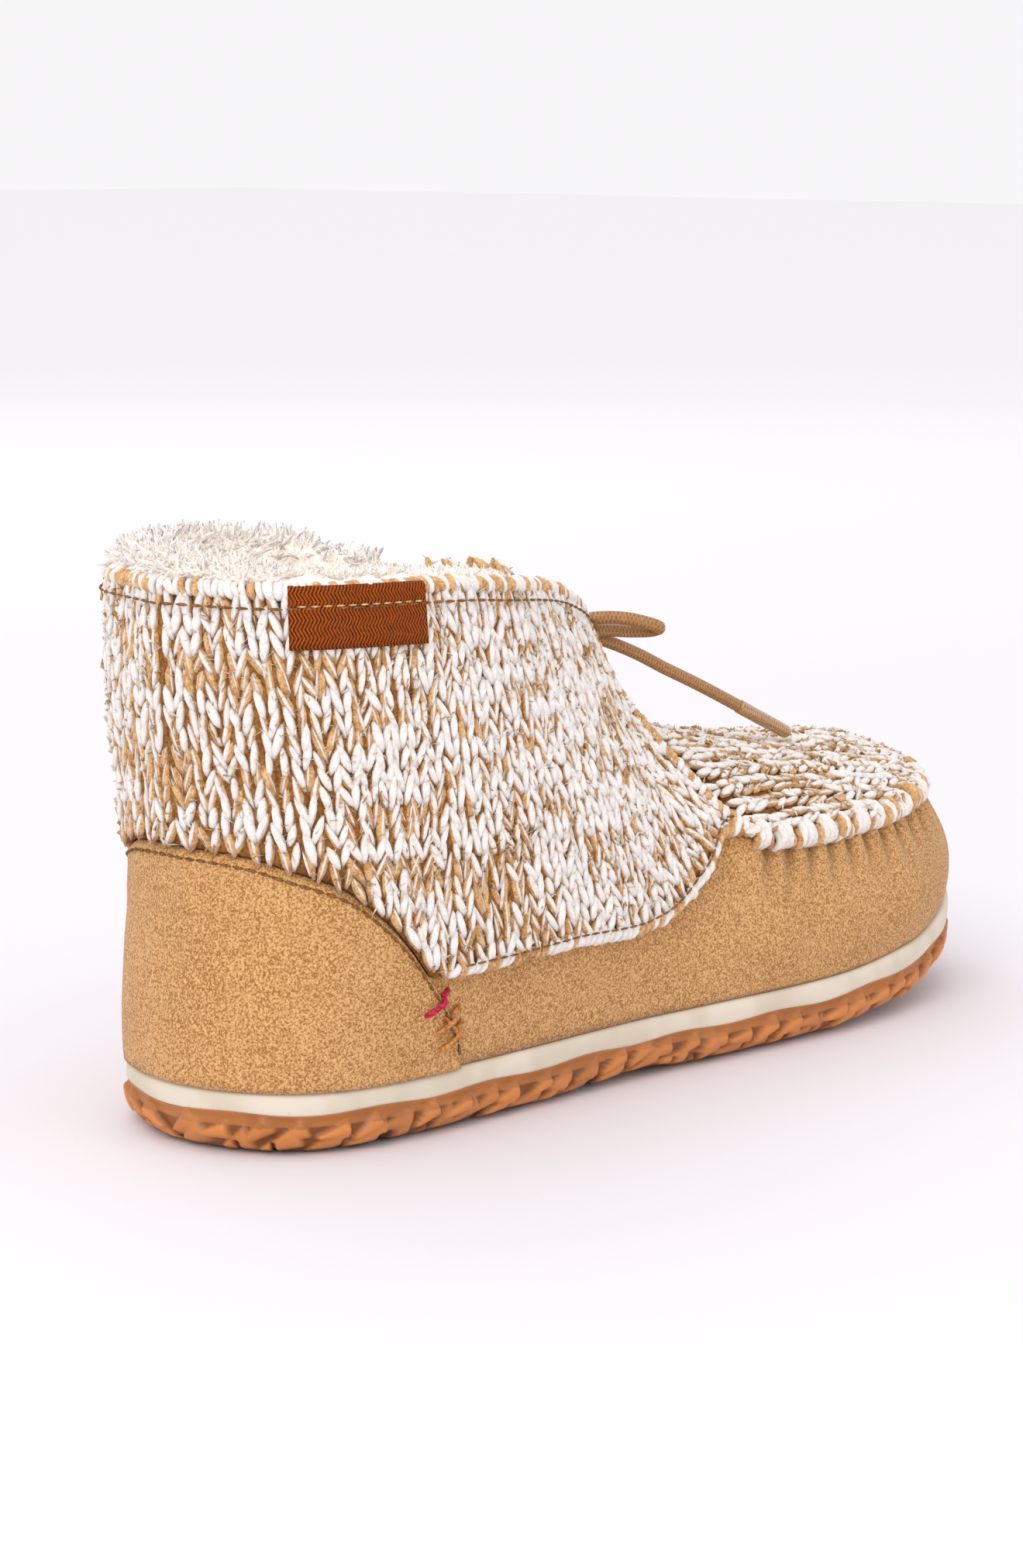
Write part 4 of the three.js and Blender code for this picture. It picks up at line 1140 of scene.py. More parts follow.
def seam_pleats():
    """Places of the gathers along the apron's seam: loop coordinates, even steps along the edge."""
    start = loop_at(PLEAT_START) + 0.006
    w = np.linspace(start, 2 - start, 3000)
    run = run_along(edge_point(w))
    count = round(run[-1] / PLEAT_PITCH)
    return wrap(np.interp((np.arange(count + 1)) / count * (run[-1] - 2) + 1, run, w))


PLEATS = seam_pleats()


def seam_fold(w, v):
    """Creases that run down from between the gathers into the suede."""
    ordered = np.sort(np.where(PLEATS < 0, PLEATS + 2, PLEATS))
    u = np.where(wrap(w) < 0, wrap(w) + 2, wrap(w))
    slant = (1 - v) * FOLD_SLANT * np.where(u < 1, 1, -1)
    gaps = (ordered[1:] + ordered[:-1]) / 2
    reach = np.exp(-((1 - v) / FOLD_LENGTH) ** 2)
    nearest = np.min(np.abs((u + slant)[..., None] - gaps), -1)
    span = np.mean(np.diff(ordered))
    trough = np.exp(-(nearest / (span * FOLD_WIDTH)) ** 2)
    inside = (u > ordered[0] - span) & (u < ordered[-1] + span)
    return np.where(inside, reach * (1.1 - 2.3 * trough), 0)


def make_upper():
    columns, rows = 500, 40
    w = loop_steps(columns)

    def outer(ww, s):
        return ripple(last(ww, s), 38, seed=21) * 0.45 * np.sin(np.pi * s) + seam_fold(ww, s)

    rings = wall_rings(w, np.zeros_like(w), np.ones_like(w), -UPPER_WALL, outer, rows)
    ww, vv = np.meshgrid(w, np.linspace(0, 1, rows), indexing="ij")
    # Painted shade: the troughs of the creases under the gathers, where the suede is darkened.
    dark = np.clip(-seam_fold(ww, vv), 0, 1)
    dark = np.concatenate([dark, 0 * dark], 1)
    finished(ring_piece("suede_upper", rings, True, SUEDE, fields={"crease_shade": dark}), "suede", "upper")


def make_wall_lining():
    """Fleece down the inner face of the upper, from the collar's fleece to the insole."""
    columns, rows = 240, 14
    w = loop_steps(columns)
    low = share_at_height(w, FEATHER_BASE + sole_rise(w) + INSOLE * 0.6)
    k = np.abs(w)
    under_collar = share_at_height(w, edge_point(w)[:, 2] - FLEECE_DEPTH * 0.9)
    high = np.interp(k, [0.95 * FLEECE_END, 1.1 * FLEECE_END, 0.47, 0.53, 1], [0, 0.88, 0.88, 0.72, 0.72])
    high = np.maximum(high, np.where(k < 1.1 * FLEECE_END, under_collar, 0))

    def face(ww, s):
        p = last(ww, s)
        taper = np.clip(8 * np.minimum(s, 1 - s), 0.15, 1)
        return -UPPER_WALL - 0.25 - (LINING_PILE + ripple(p, 4, seed=41) * 0.3 + ripple(p, 9, seed=42) * 0.35) * taper

    rings = wall_rings(w, low, high, -UPPER_WALL - 0.1, face, rows)
    finished(ring_piece("wall_lining", rings, True, LINING_SHADE), "fleece")


def rounded(distance, radius):
    return np.sqrt(1 - (1 - np.clip(distance / radius, 0, 1)) ** 2)


def make_counter():
    end = loop_at(COUNTER_LENGTH / LAST_LENGTH)
    columns, rows = 220, 34
    w = np.linspace(-end, end, columns)
    top = counter_edge(LAST_LENGTH * station(w))
    high = share_at_height(w, top)
    tall = (top - FEATHER_BASE)[:, None]

    def outer(ww, s):
        soft = ripple(last(ww, s), 30, seed=9) * 0.2
        return GAP + (COUNTER_THICKNESS + soft * s) * (0.35 + 0.65 * rounded((1 - s) * tall, 1.1))

    rings = wall_rings(w, np.zeros_like(w), high, GAP, outer, rows)
    finished(ring_piece("suede_counter", rings, False, SUEDE), "suede", "heel_counter")


# Knit

# Stations at which the rim ends and at which the shaft's hem ends
RIM_END = 0.438
HEM_END = 0.59
STITCH_SEAT = KNIT_SEAT + 0.7
GROUND_THICKNESS = 2.2
# A stitch's leg: its reach for each wale, its rise for each course, its sway in radians and its height over the knit
LEG_REACH = 0.3
LEG_RISE = 1.42
LEG_SWAY = 0.13
LEG_LIFT = 1.05
# How fast the yarn's thickness changes along it, in short and in long runs, and where the white strand swells
SHORT_RUN = 0.47
LONG_RUN = 0.13
SWELL_START = 0.31
SWELL_SPAN = 0.32
LEG = spindle("yarn_leg", 5, 5, 0.2, 0.1)
UNDER_LEG = spindle("under_leg", 5, 4, 0.2, 0.1)
FIBRE = wisp("yarn_fibre", 3, 2, 0.9)
FIBRE_WIDTH = 0.07
LOOP_RADIUS = 1.6
RIM_LOOP_PITCH = 1.5
HEM_LOOP_PITCH = 2.0
PALE_LOOPS = 0.55
HOOK = hook("yarn_hook", 6, 8)


def slub(index, seed):
    """Smooth noise from 0 to 1 along a yarn that is thick and thin by turns."""
    r = np.random.default_rng(seed)
    table = r.uniform(0, 1, 4096)
    i = np.floor(index).astype(int)
    f = index - i
    f = f * f * (3 - 2 * f)
    return table[i % 4096] * (1 - f) + table[(i + 1) % 4096] * f


class Stitches:
    """Collects the legs of V stitches on any surface, to be made as two pieces of yarn and one of fuzz.

    Each leg is a tan strand with a white one on it, whose thickness changes along the yarn. A row of a list has
    the legs' centres, their directions across, along and away from the knit, and their sizes.
    """

    def __init__(self):
        self.tan, self.white = [], []

    def add(self, place, normal, up, wale, thread, shy=0.0):
        """place is the foot of each V, up the way its arms point, thread its place along the yarn."""
        side = unit(np.cross(up, normal))
        up = unit(np.cross(normal, side))
        count = len(place)
        for hand in (-1, 1):
            reach, rise = LEG_REACH * wale, LEG_RISE * COURSE
            long = np.hypot(reach, rise) * (1 + rng.normal(0, 0.1, count))
            angle = np.arctan2(reach, rise) + rng.normal(0, LEG_SWAY, count)
            along = up * np.cos(angle)[:, None] + side * (hand * np.sin(angle))[:, None]
            beside = unit(np.cross(along, normal))
            centre = place + side * (hand * (reach * 0.5 + 0.5))[:, None] + up * rise * 0.5
            centre = centre + side * rng.normal(0, 0.25, count)[:, None] + up * rng.normal(0, 0.3, count)[:, None]
            centre = centre + normal * (LEG_LIFT + shy + rng.normal(0, 0.12, count))[:, None]
            thick = slub(thread * SHORT_RUN + hand * 0.2, seed=3)
            fat = slub(thread * LONG_RUN, seed=4)
            plump = 0.6 * thick + 0.4 * fat + rng.normal(0, 0.09, count)
            plump = np.clip((plump - SWELL_START) / SWELL_SPAN, 0, 1)
            white = 0.55 + 1.55 * plump + rng.normal(0, 0.1, count)
            size = np.stack([rng.uniform(2.0, 2.6, count), long * 1.12, rng.uniform(1.6, 2.1, count)], -1)
            self.tan.append((centre, beside, along, normal, size))
            lift = normal * (0.55 + 0.1 * white)[:, None] + up * 0.25
            inner = side * (hand * rng.normal(-0.1, 0.35, count) * (1 - plump))[:, None]
            size = np.stack([white, long * rng.uniform(0.85, 1.08, count), white * 0.55 + 0.5], -1)
            self.white.append((centre + lift + inner, beside, along, normal, size))

    def pieces(self, name, node):
        for kind, rows, leg, finish in (("tan", self.tan, UNDER_LEG, TAN), ("white", self.white, LEG, WHITE)):
            points, *axes, sizes = (np.concatenate(column) for column in zip(*rows))
            finished(place_copies(f"{name}_{kind}_yarn", leg, points, axes, sizes, finish, 0.06), "knit", node)
        points, *axes, _ = (np.concatenate(column) for column in zip(*self.tan, *self.white))
        count = len(points)
        pick = rng.integers(0, count, count)
        beside, along, normal = (a[pick] for a in axes)
        turn = rng.uniform(0, 2 * np.pi, count)[:, None]
        lean = along * np.cos(turn) + beside * np.sin(turn)
        grow = unit(lean + normal * rng.uniform(0.15, 0.8, count)[:, None])
        place = points[pick] + normal * 0.75 + along * rng.uniform(-2.4, 2.4, count)[:, None]
        place = place + beside * rng.uniform(-0.8, 0.8, count)[:, None]
        side = unit(np.cross(grow, normal))
        length = rng.uniform(0.9, 2.2, count)
        sizes = np.stack([np.full(count, FIBRE_WIDTH), length * 0.8, length], -1)
        axes = (side, unit(np.cross(grow, side)), grow)
        finished(place_copies(f"{name}_fuzz", FIBRE, place, axes, sizes, FUZZ, 0.2), "knit", node)


def along_yarn(course, wale, jump, start):
    """Place of a stitch along the yarn: two steps for each wale and a jump for each course."""
    return course * jump + wale * 2 + start


def shaft_grid():
    """Feet of the stitches on the shaft: wales run from the rim down and fan out to the flaps' fronts."""
    rim_w = np.linspace(0, loop_at(RIM_END), 400)
    low_w = np.linspace(0, loop_at(HEM_END), 400)
    rim_run = run_along(edge_point(rim_w))
    low_run = run_along(last(low_w, knit_bottom(low_w)))
    count = round((rim_run[-1] + low_run[-1]) / 2 / WALE)
    s = np.linspace(0, 1, 120)
    rows = []
    for hand in (-1, 1):
        for k in range(count):
            share = (k + 0.5) / count
            a = hand * np.interp(share * rim_run[-1], rim_run, rim_w)
            b = hand * np.interp(share * low_run[-1], low_run, low_w)
            w = a + (b - a) * s
            v = 1 + (knit_bottom(b) - 1) * s

            def seat(at):
                return skin(np.interp(at, s, w), np.interp(at, s, v), STITCH_SEAT)

            run = run_along(skin(w, v, STITCH_SEAT))
            first, final = COURSE * 1.5, run[-1] - 0.5
            if final - first < COURSE:
                continue
            steps = np.linspace(first, final, max(2, round((final - first) / COURSE) + 1))
            at = np.interp(steps, run, s)
            place = seat(at)
            up = unit(seat(at - 0.02) - place)
            normal = last_normal(np.interp(at, s, w), np.interp(at, s, v))
            wide = (rim_run[-1] * (1 - at) + low_run[-1] * at) / count
            rows.append((place, normal, up, wide, along_yarn(np.arange(len(steps)), hand * k, 211.3, 60)))
    return [np.concatenate(column) for column in zip(*rows)]


def make_shaft():
    end = loop_at(FLAP_END)
    columns, rows = 340, 30
    w = np.linspace(-end, end, columns)

    def outer(_, s):
        return KNIT_SEAT + GROUND_THICKNESS * np.clip(0.35 + 9 * np.minimum(s, 1 - s), 0, 1)

    low = np.minimum(knit_bottom(w), 0.97)
    rings = wall_rings(w, low, np.ones_like(w), KNIT_SEAT, outer, rows)
    # Backing in the painted shade between the stitches.
    finished(ring_piece("shaft_ground", rings, False, GROUND_SHADE), "knit", "knit_shaft")
    stitches = Stitches()
    stitches.add(*shaft_grid())
    stitches.pieces("shaft", "knit_shaft")


def hooks(name, node, points, axes, sizes, pale, uneven):
    """Hooks of white yarn where pale is true and of tan yarn elsewhere."""
    for kind, pick, finish in (("white", pale, WHITE), ("tan", ~pale, TAN)):
        own = [a[pick] for a in axes]
        finished(place_copies(f"{name}_{kind}", HOOK, points[pick], own, sizes[pick], finish, uneven), "knit", node)


def edge_loops(name, w, v, lean, width, slant, slant_noise=0.25):
    """Loops of yarn that turn over an edge of the knit at loop coordinates w and shares v."""
    count = len(w)
    normal = last_normal(w, v)
    out = unit(lean - normal * np.sum(lean * normal, -1)[:, None])
    side = unit(np.cross(out, normal))
    side = unit(side + out * rng.normal(slant, slant_noise, count)[:, None])
    out = unit(np.cross(normal, side))
    radius = np.full(count, LOOP_RADIUS)
    sizes = np.stack([width * rng.uniform(0.75, 1.3, count), radius, radius], -1)
    pale = rng.uniform(size=count) < PALE_LOOPS
    hooks(name, "knit_shaft", skin(w, v, KNIT_SEAT + KNIT_THICKNESS * 0.45), (side, out, normal), sizes, pale, 0.1)


def even_steps(w, points, pitch):
    run = run_along(points)
    count = max(2, round(run[-1] / pitch))
    return np.interp((np.arange(count) + 0.5) / count * run[-1], run, w)


def make_knit_edges():
    corner = loop_at(RIM_END)
    w = np.linspace(-corner, corner, 2000)
    rim = even_steps(w, edge_point(w), RIM_LOOP_PITCH)
    edge_loops("rim_loops", rim, 1.0, np.array([0.0, 0, 1]), 1.8, 0.3)
    for hand, side in ((-1, "lateral"), (1, "medial")):
        front = hand * np.linspace(corner, loop_at(FLAP_END) - 0.003, 500)
        front = even_steps(front, edge_point(front), HEM_LOOP_PITCH)
        edge_loops(f"front_loops_{side}", front, 0.995, edge_point(front) - last(front, 0.93), 2.2, hand * 0.5)
        low = hand * np.linspace(loop_at(COUNTER_LENGTH * 0.9 / LAST_LENGTH), loop_at(0.592), 600)
        low = even_steps(low, last(low, knit_bottom(low)), HEM_LOOP_PITCH)
        foot = knit_bottom(low)
        down = last(low, foot - 0.05) - last(low, foot)
        edge_loops(f"hem_loops_{side}", low, foot + 0.012, down, 2.0, hand * 0.7, 0.3)


# Apron and tongue

PLUG_BACK = 0.545
PLUG_TOE = 0.9
APRON_MIDDLE = 185
APRON_HALF = 42
APRON_STITCHES = np.arange(131, 246, COURSE)
# The reach of a stitch's arms, and how far forward the apron's open back end lets them pass its edge
ARM_REACH = 4.5
OPEN_END = 160
GROUND_DROP = 1.0
STITCH_DROP = 1.6
RAY_START = 200
DOWN = Vector((0, 0, -1))
UP = np.array([0.0, 0, 1])


def plug_point(w, r, drop):
    """Points of the apron, from its middle at r = 0 to its rim at r = 1, at a drop below its face."""
    w, r = np.broadcast_arrays(np.asarray(w, float), np.asarray(r, float))
    start = loop_at(PLUG_BACK)
    share = np.clip((np.abs(wrap(w)) - start) / (1 - start), 0, 1)
    back = float(edge_along(start))
    x = LAST_LENGTH * (back + (PLUG_TOE - back) * share ** 1.15)
    inner = stack(x, BALL_WIDTH * 0.02 * share, CREST_HEIGHT * crest(x / LAST_LENGTH))
    tuck = np.clip((station(w) - PLEAT_START) / 0.03 + 0.7, 0, 1)
    inward = -UPPER_WALL - 3 * GAP - 1
    rim = edge_point(w) + outward(w) * (inward + (0.6 - inward) * tuck)[..., None]
    rim[..., 2] += -3 + (GAP + PLUG_THICKNESS * 0.9 + 3) * tuck
    p = inner + (rim - inner) * r[..., None]
    p[..., 2] = rim[..., 2] + (inner[..., 2] - rim[..., 2]) * (1 - r ** 1.9) - drop
    return p


def make_apron():
    start = loop_at(PLUG_BACK)
    w = np.concatenate([np.linspace(start, 1, 130), np.linspace(-1 + 1e-4, -start, 130)])
    rows = 22
    r = np.linspace(0, 1, rows)
    ww, rr = np.meshgrid(w, r, indexing="ij")
    top = plug_point(ww, rr, GROUND_DROP)
    low = plug_point(ww, rr, PLUG_THICKNESS)[:, ::-1]
    rings = np.concatenate([top, low], 1)
    # Backing in the painted shade between the stitches.
    finished(ring_piece("apron_ground", rings, False, GROUND_SHADE), "knit", "apron")
    cover = plug_point(ww, rr, STITCH_DROP)
    quads = [(i * rows + j, (i + 1) * rows + j, (i + 1) * rows + j + 1, i * rows + j + 1)
             for i in range(len(w) - 1) for j in range(rows - 1)]
    tree = BVHTree.FromPolygons(cover.reshape(-1, 3).tolist(), quads)

    def drop(x, y):
        return tree.ray_cast(Vector((x, y, RAY_START)), DOWN)

    section = [drop(APRON_MIDDLE, y)[0] for y in np.linspace(-APRON_HALF, APRON_HALF, 337)]
    section = np.array([hit for hit in section if hit is not None])
    run = run_along(section)
    rows = []
    for k, y in enumerate(np.interp(np.arange(0.4, run[-1] / WALE) * WALE, run, section[:, 1])):
        for j, x in enumerate(APRON_STITCHES):
            place, normal = drop(x, y)[:2]
            # A stitch is left out where its arms would reach past the apron's edge
            if place is None or (x > OPEN_END and drop(x - ARM_REACH, y)[0] is None):
                continue
            rows.append((place, normal if normal.z > 0 else -normal, along_yarn(j, k, 173.7, 900)))
    place, normal, thread = (np.array(column) for column in zip(*rows))
    back = np.array([-1.0, 0, 0])
    up = unit(back - normal * (normal @ back)[:, None])
    stitches = Stitches()
    stitches.add(place, normal, up, np.full(len(place), WALE), thread, -0.3)
    stitches.pieces("apron", "apron")


# Place along the seam, width, lift and reach of the strands of one gather
STRANDS = (
    (-2.5, 1.5, -0.6, 2.1), (-1.3, 1.9, 0.2, 2.5), (0, 2.1, 0.5, 2.7), (1.3, 1.9, 0.2, 2.5), (2.5, 1.5, -0.6, 2.1),
)


def make_seam():
    """Gathers of the apron's edge: strands of yarn that turn over the seam."""
    count = len(PLEATS)
    n = outward(PLEATS)
    along = unit(np.cross(UP, n))
    c = edge_point(PLEATS) + n * 0.7 + UP * 0.4
    rows = []
    for shift, size, lift, reach in STRANDS:
        lean = rng.normal(0, 0.14, count)[:, None]
        side = unit(along + n * lean + UP * shift * 0.12)
        out = unit(n * 0.93 - UP * 0.2 - along * shift * 0.1)
        out = unit(out - side * np.sum(out * side, -1)[:, None])
        normal = np.cross(side, out)
        flip = np.where(normal[:, 2:] < 0, -1.0, 1.0)
        points = c + along * shift + UP * (lift + 0.2) - n * 0.4
        sizes = np.stack([size * rng.uniform(0.85, 1.2, count), np.full(count, reach), np.full(count, reach)], -1)
        pale = rng.uniform(size=count) < (0.85 if abs(shift) < 2 else 0.35)
        rows.append((points, side * flip, out, normal * flip, sizes, pale))
    points, *axes, sizes, pale = (np.concatenate(column) for column in zip(*rows))
    hooks("seam_gathers", "apron", points, axes, sizes, pale, 0.08)


tongue_along, tongue_height, tongue_half, tongue_bend, tongue_sag = (
    curve(TONGUE[:, 0], TONGUE[:, i]) for i in range(1, 6))
TONGUE_REACH = 47
TONGUE_WALES = 5
TONGUE_FACE = 1.6


def facing_front(normal):
    return np.where(normal[:, :1] < 0, -normal, normal)


def tongue_point(s, b, depth):
    """Points of the tongue: s runs up it, b from side to side, and depth is behind its face."""
    s, b, depth = np.broadcast_arrays(*(np.asarray(a, float) for a in (s, b, depth)))
    step = 0.01
    low = np.clip(s, step, 1) - step

    def at(q):
        return stack(LAST_LENGTH * tongue_along(q), 0, RIM_HEIGHT * tongue_height(q))

    up = unit(at(low + step) - at(low))
    front = stack(up[..., 2], 0, -up[..., 0])
    p = at(s) - front * depth[..., None]
    p = p + up * (np.maximum(0, s - 1) * TONGUE_REACH)[..., None]
    p[..., 1] = b * BALL_WIDTH * tongue_half(s)
    p[..., 0] -= BALL_WIDTH * tongue_bend(s) * b * b
    p[..., 2] -= BALL_WIDTH * tongue_sag(s) * b * b
    return p


def make_tongue():
    s, b = np.meshgrid(np.linspace(0, 1, 40), np.linspace(-1, 1, 32), indexing="ij")
    front = tongue_point(s, b, TONGUE_FACE)
    back = tongue_point(s, b * 0.97, TONGUE_THICKNESS - (TONGUE_THICKNESS - TONGUE_FACE) * 0.35 * b * b)[:, ::-1]
    # Backing in the painted shade between the stitches.
    finished(ring_piece("tongue_ground", np.concatenate([front, back], 1), False, GROUND_SHADE), "knit", "tongue")
    s = np.arange(0.06, 0.99, COURSE / TONGUE_REACH)
    depth = TONGUE_FACE + 0.1
    rows = []
    for k in range(TONGUE_WALES):
        b = (k + 0.5) / TONGUE_WALES * 2 - 1
        place = tongue_point(s, b, depth)
        up = unit(tongue_point(np.minimum(s + 0.02, 1.02), b, depth) - place)
        normal = unit(np.cross(tongue_point(s, b + 0.03, depth) - place, up))
        rows.append((place, facing_front(normal), up, along_yarn(np.arange(len(s)), k, 91.3, 300)))
    place, normal, up, thread = (np.concatenate(column) for column in zip(*rows))
    stitches = Stitches()
    stitches.add(place, normal, up, np.full(len(place), 2 * BALL_WIDTH * 0.18 / TONGUE_WALES), thread, -0.5)
    stitches.pieces("tongue", "tongue")
    edge = np.linspace(-0.93, 0.93, 12)
    at = tongue_point(1.0, edge, TONGUE_FACE)
    up = unit(tongue_point(1.02, edge, TONGUE_FACE) - at)
    normal = facing_front(unit(np.cross(unit(np.cross(up, [1.0, 0, 0.4])), up)))
    axes = (unit(np.cross(up, normal)), up, normal)
    finished(place_copies("tongue_top_loops", HOOK, at, axes, (2.8, 1.6, 1.6), WHITE, 0.15), "knit", "tongue")


# Fleece

def loop_at_edge(x):
    """Loop coordinate, on the medial side, at which the rim reaches a place along the length."""
    w = np.linspace(0, loop_at(0.42), 2000)
    return float(np.interp(x, LAST_LENGTH * edge_along(w), w))


WISP = wisp("fleece_wisp", 3, 3, 1.05)
COLLAR_TUFTS = 9500
TONGUE_TUFTS = 2000
FLEECE_BACK = -UPPER_WALL - GAP * 1.8
FLEECE_INSIDE = FLEECE_BACK - FLEECE_THICKNESS
# Place round the roll's section, its offset and rise, and how far tufts lean out and up there
COLLAR_ROWS = np.array([
    (0, GAP + 0.6, 1.2, 1, 0.5), (0.12, GAP + 0.9, 2.6, 0.8, 0.7), (0.3, FLEECE_BACK + 0.5, 4.8, 0.3, 1),
    (0.48, FLEECE_INSIDE + 2.6, 5, -0.2, 1), (0.6, FLEECE_INSIDE, 2, -0.9, 0.6),
    (0.75, FLEECE_INSIDE - 0.4, -5, -1, 0.25), (1, FLEECE_INSIDE, -21, -1, 0.2),
])


def tufts(name, picks, node, place, grow, lengths, scale, sink):
    """Tufts that grow from places: x across, y the way each leans over and z the way it grows."""
    count = len(place)
    side = unit(np.cross(grow, rng.normal(0, 1, (count, 3))))
    fall = unit(np.cross(grow, side))
    length = rng.uniform(*lengths, count) * scale
    sizes = np.stack([rng.uniform(0.12, 0.26, count), length * 0.8, length], -1)
    axes = (np.cross(fall, grow), fall, grow)
    place = place - grow * sink
    for kind, pick in picks.items():
        piece = place_copies(name + kind, WISP, place[pick], [a[pick] for a in axes], sizes[pick], FLEECE, 0.2)
        finished(piece, "fleece", node)


def rim_strip(w, offsets, rises):
    """Points beside the rim, above it by a rise or down the last's face where the rise is negative."""
    above = beside_edge(w, offsets, np.maximum(rises, 0))
    share = share_at_height(w, edge_point(w)[..., 2] + np.minimum(rises, 0))
    below = skin(w, share, offsets)
    return np.where((rises > 0)[..., None], above, below)


def fleece_top(w):
    """The roll is pressed lower along the lateral side than at the heel and on the medial side."""
    s = np.clip(-w / (FLEECE_END * 0.5), 0, 1)
    return FLEECE_RISE + (LATERAL_FLEECE_RISE - FLEECE_RISE) * s * s * (3 - 2 * s)


def fleece_settle(w):
    """The roll sinks towards its two ends."""
    return np.clip((FLEECE_END - np.abs(w)) / 0.05, 0.35, 1)


def fleece_section(w):
    """Offsets from the last and rises over the rim of the roll's section, from its back over the top to inside."""
    top = fleece_top(w) * fleece_settle(w)
    rows = [
        (FLEECE_BACK, -FLEECE_DEPTH), (FLEECE_BACK, -FLEECE_DEPTH * 0.45), (FLEECE_BACK, GAP), (GAP, GAP * 2.4),
        (GAP + 1, top * 0.5), (FLEECE_BACK + 0.5, top * 0.86), (FLEECE_INSIDE + 3.4, top * 0.96),
        (FLEECE_INSIDE + 1.2, top * 0.8), (FLEECE_INSIDE - 0.4, top * 0.3), (FLEECE_INSIDE - 0.6, -2),
        (FLEECE_INSIDE - 0.7, -FLEECE_DEPTH * 0.15), (FLEECE_INSIDE - 0.6, -FLEECE_DEPTH * 0.3),
        (FLEECE_INSIDE - 0.3, -FLEECE_DEPTH * 0.5), (FLEECE_INSIDE, -FLEECE_DEPTH * 0.75),
        (FLEECE_INSIDE + 2, -FLEECE_DEPTH),
    ]
    return np.array([[np.broadcast_to(a, w.shape) for a in row] for row in rows + rows[:1]])


def make_fleece():
    w = np.linspace(-FLEECE_END, FLEECE_END, 300)
    section = fleece_section(w)
    knots = np.arange(len(section))
    fine = np.linspace(0, knots[-1], 38, endpoint=False)
    offsets, rises = (np.array([np.interp(fine, knots, column) for column in section[:, i].T]) for i in (0, 1))
    rings = rim_strip(np.repeat(w[:, None], len(fine), 1), offsets, rises)
    normal = unit(np.cross(np.gradient(rings, axis=0), np.roll(rings, -1, 1) - np.roll(rings, 1, 1)))
    away = rings - rings.mean(1, keepdims=True)
    normal = normal * np.sign(np.sum(normal * away, (1, 2)))[:, None, None]
    clumps = ripple(rings, 3.6, seed=13) * 0.45 + ripple(rings, 8, seed=14) * 0.5 + ripple(rings, 18, seed=15) * 0.4
    free = np.clip(fine - 3.5, 0, 1) * np.clip(14 - fine, 0, 1)
    rings = rings + normal * (clumps * free)[..., None]
    count = rings.shape[1]
    faces = ring_faces(len(w), count, False)
    faces += [tuple(range(count)), tuple((len(w) - 1) * count + j for j in range(count))]
    finished(new_piece("collar_fleece", rings.reshape(-1, 3), faces, FLEECE), "fleece", "fleece_collar")


def make_collar_tufts():
    """Tufts over the rim's roll and down inside the collar; q goes round the roll's section."""
    count = COLLAR_TUFTS
    w = rng.uniform(-FLEECE_END, FLEECE_END, count)
    q = 0.12 + 0.88 * rng.uniform(0, 1, count) ** 1.2
    beside_label = (w > -loop_at_edge(LABEL_END + 1)) & (w < -loop_at_edge(LABEL_START - 1))
    q = np.where(beside_label, np.maximum(q, 0.34), q)
    offset, rise, lean, high = (np.interp(q, COLLAR_ROWS[:, 0], column) for column in COLLAR_ROWS[:, 1:].T)
    level = fleece_top(w) / FLEECE_RISE
    rise = rise * np.where(q < 0.6, fleece_settle(w) * level, 1)
    grow = unit(outward(w) * lean[:, None] + UP * high[:, None] + rng.normal(0, 0.5, (count, 3)))
    scale = np.where(q < 0.55, 0.4 + 0.6 * level, 0.8) * np.where(w > 0, 1.3, 1)
    picks = {"_rim": q < 0.52, "_inner": q >= 0.52}
    tufts("collar_wisps", picks, "fleece_collar", rim_strip(w, offset, rise), grow, (1.4, 2.9), scale, 0.3)


def make_tongue_fleece():
    front = TONGUE_THICKNESS + GAP
    s, b = np.meshgrid(np.linspace(0.35, 1.06, 30), np.linspace(-1, 1, 28), indexing="ij")
    a = tongue_point(s, b, front)
    depth = front + TONGUE_LINING * (1 - 0.35 * b * b) + ripple(a, 8, seed=3) * 0.5
    back = tongue_point(s, b * 0.97, depth)[:, ::-1]
    finished(ring_piece("tongue_lining", np.concatenate([a, back], 1), False, LINING_SHADE), "fleece", "tongue_fleece")
    count = TONGUE_TUFTS
    top = rng.uniform(size=count) < 0.6
    row = np.where(top, rng.uniform(0.99, 1.07, count), rng.uniform(0.5, 1.05, count))
    side = rng.uniform(-1, 1, count)
    deep = np.where(top, rng.uniform(front, front + TONGUE_LINING, count), front + TONGUE_LINING * 0.85)
    grow = np.where(top[:, None], np.array([[-0.1, 0, 1.0]]), np.array([[-1.0, 0, 0.3]]))
    grow = unit(grow + rng.normal(0, 0.35, (count, 3)))
    place = tongue_point(row, side, deep)
    tufts("tongue_wisps", {"": top | ~top}, "tongue_fleece", place, grow, (1.8, 3.4), 1, 0.8)


# Label, seams and thread

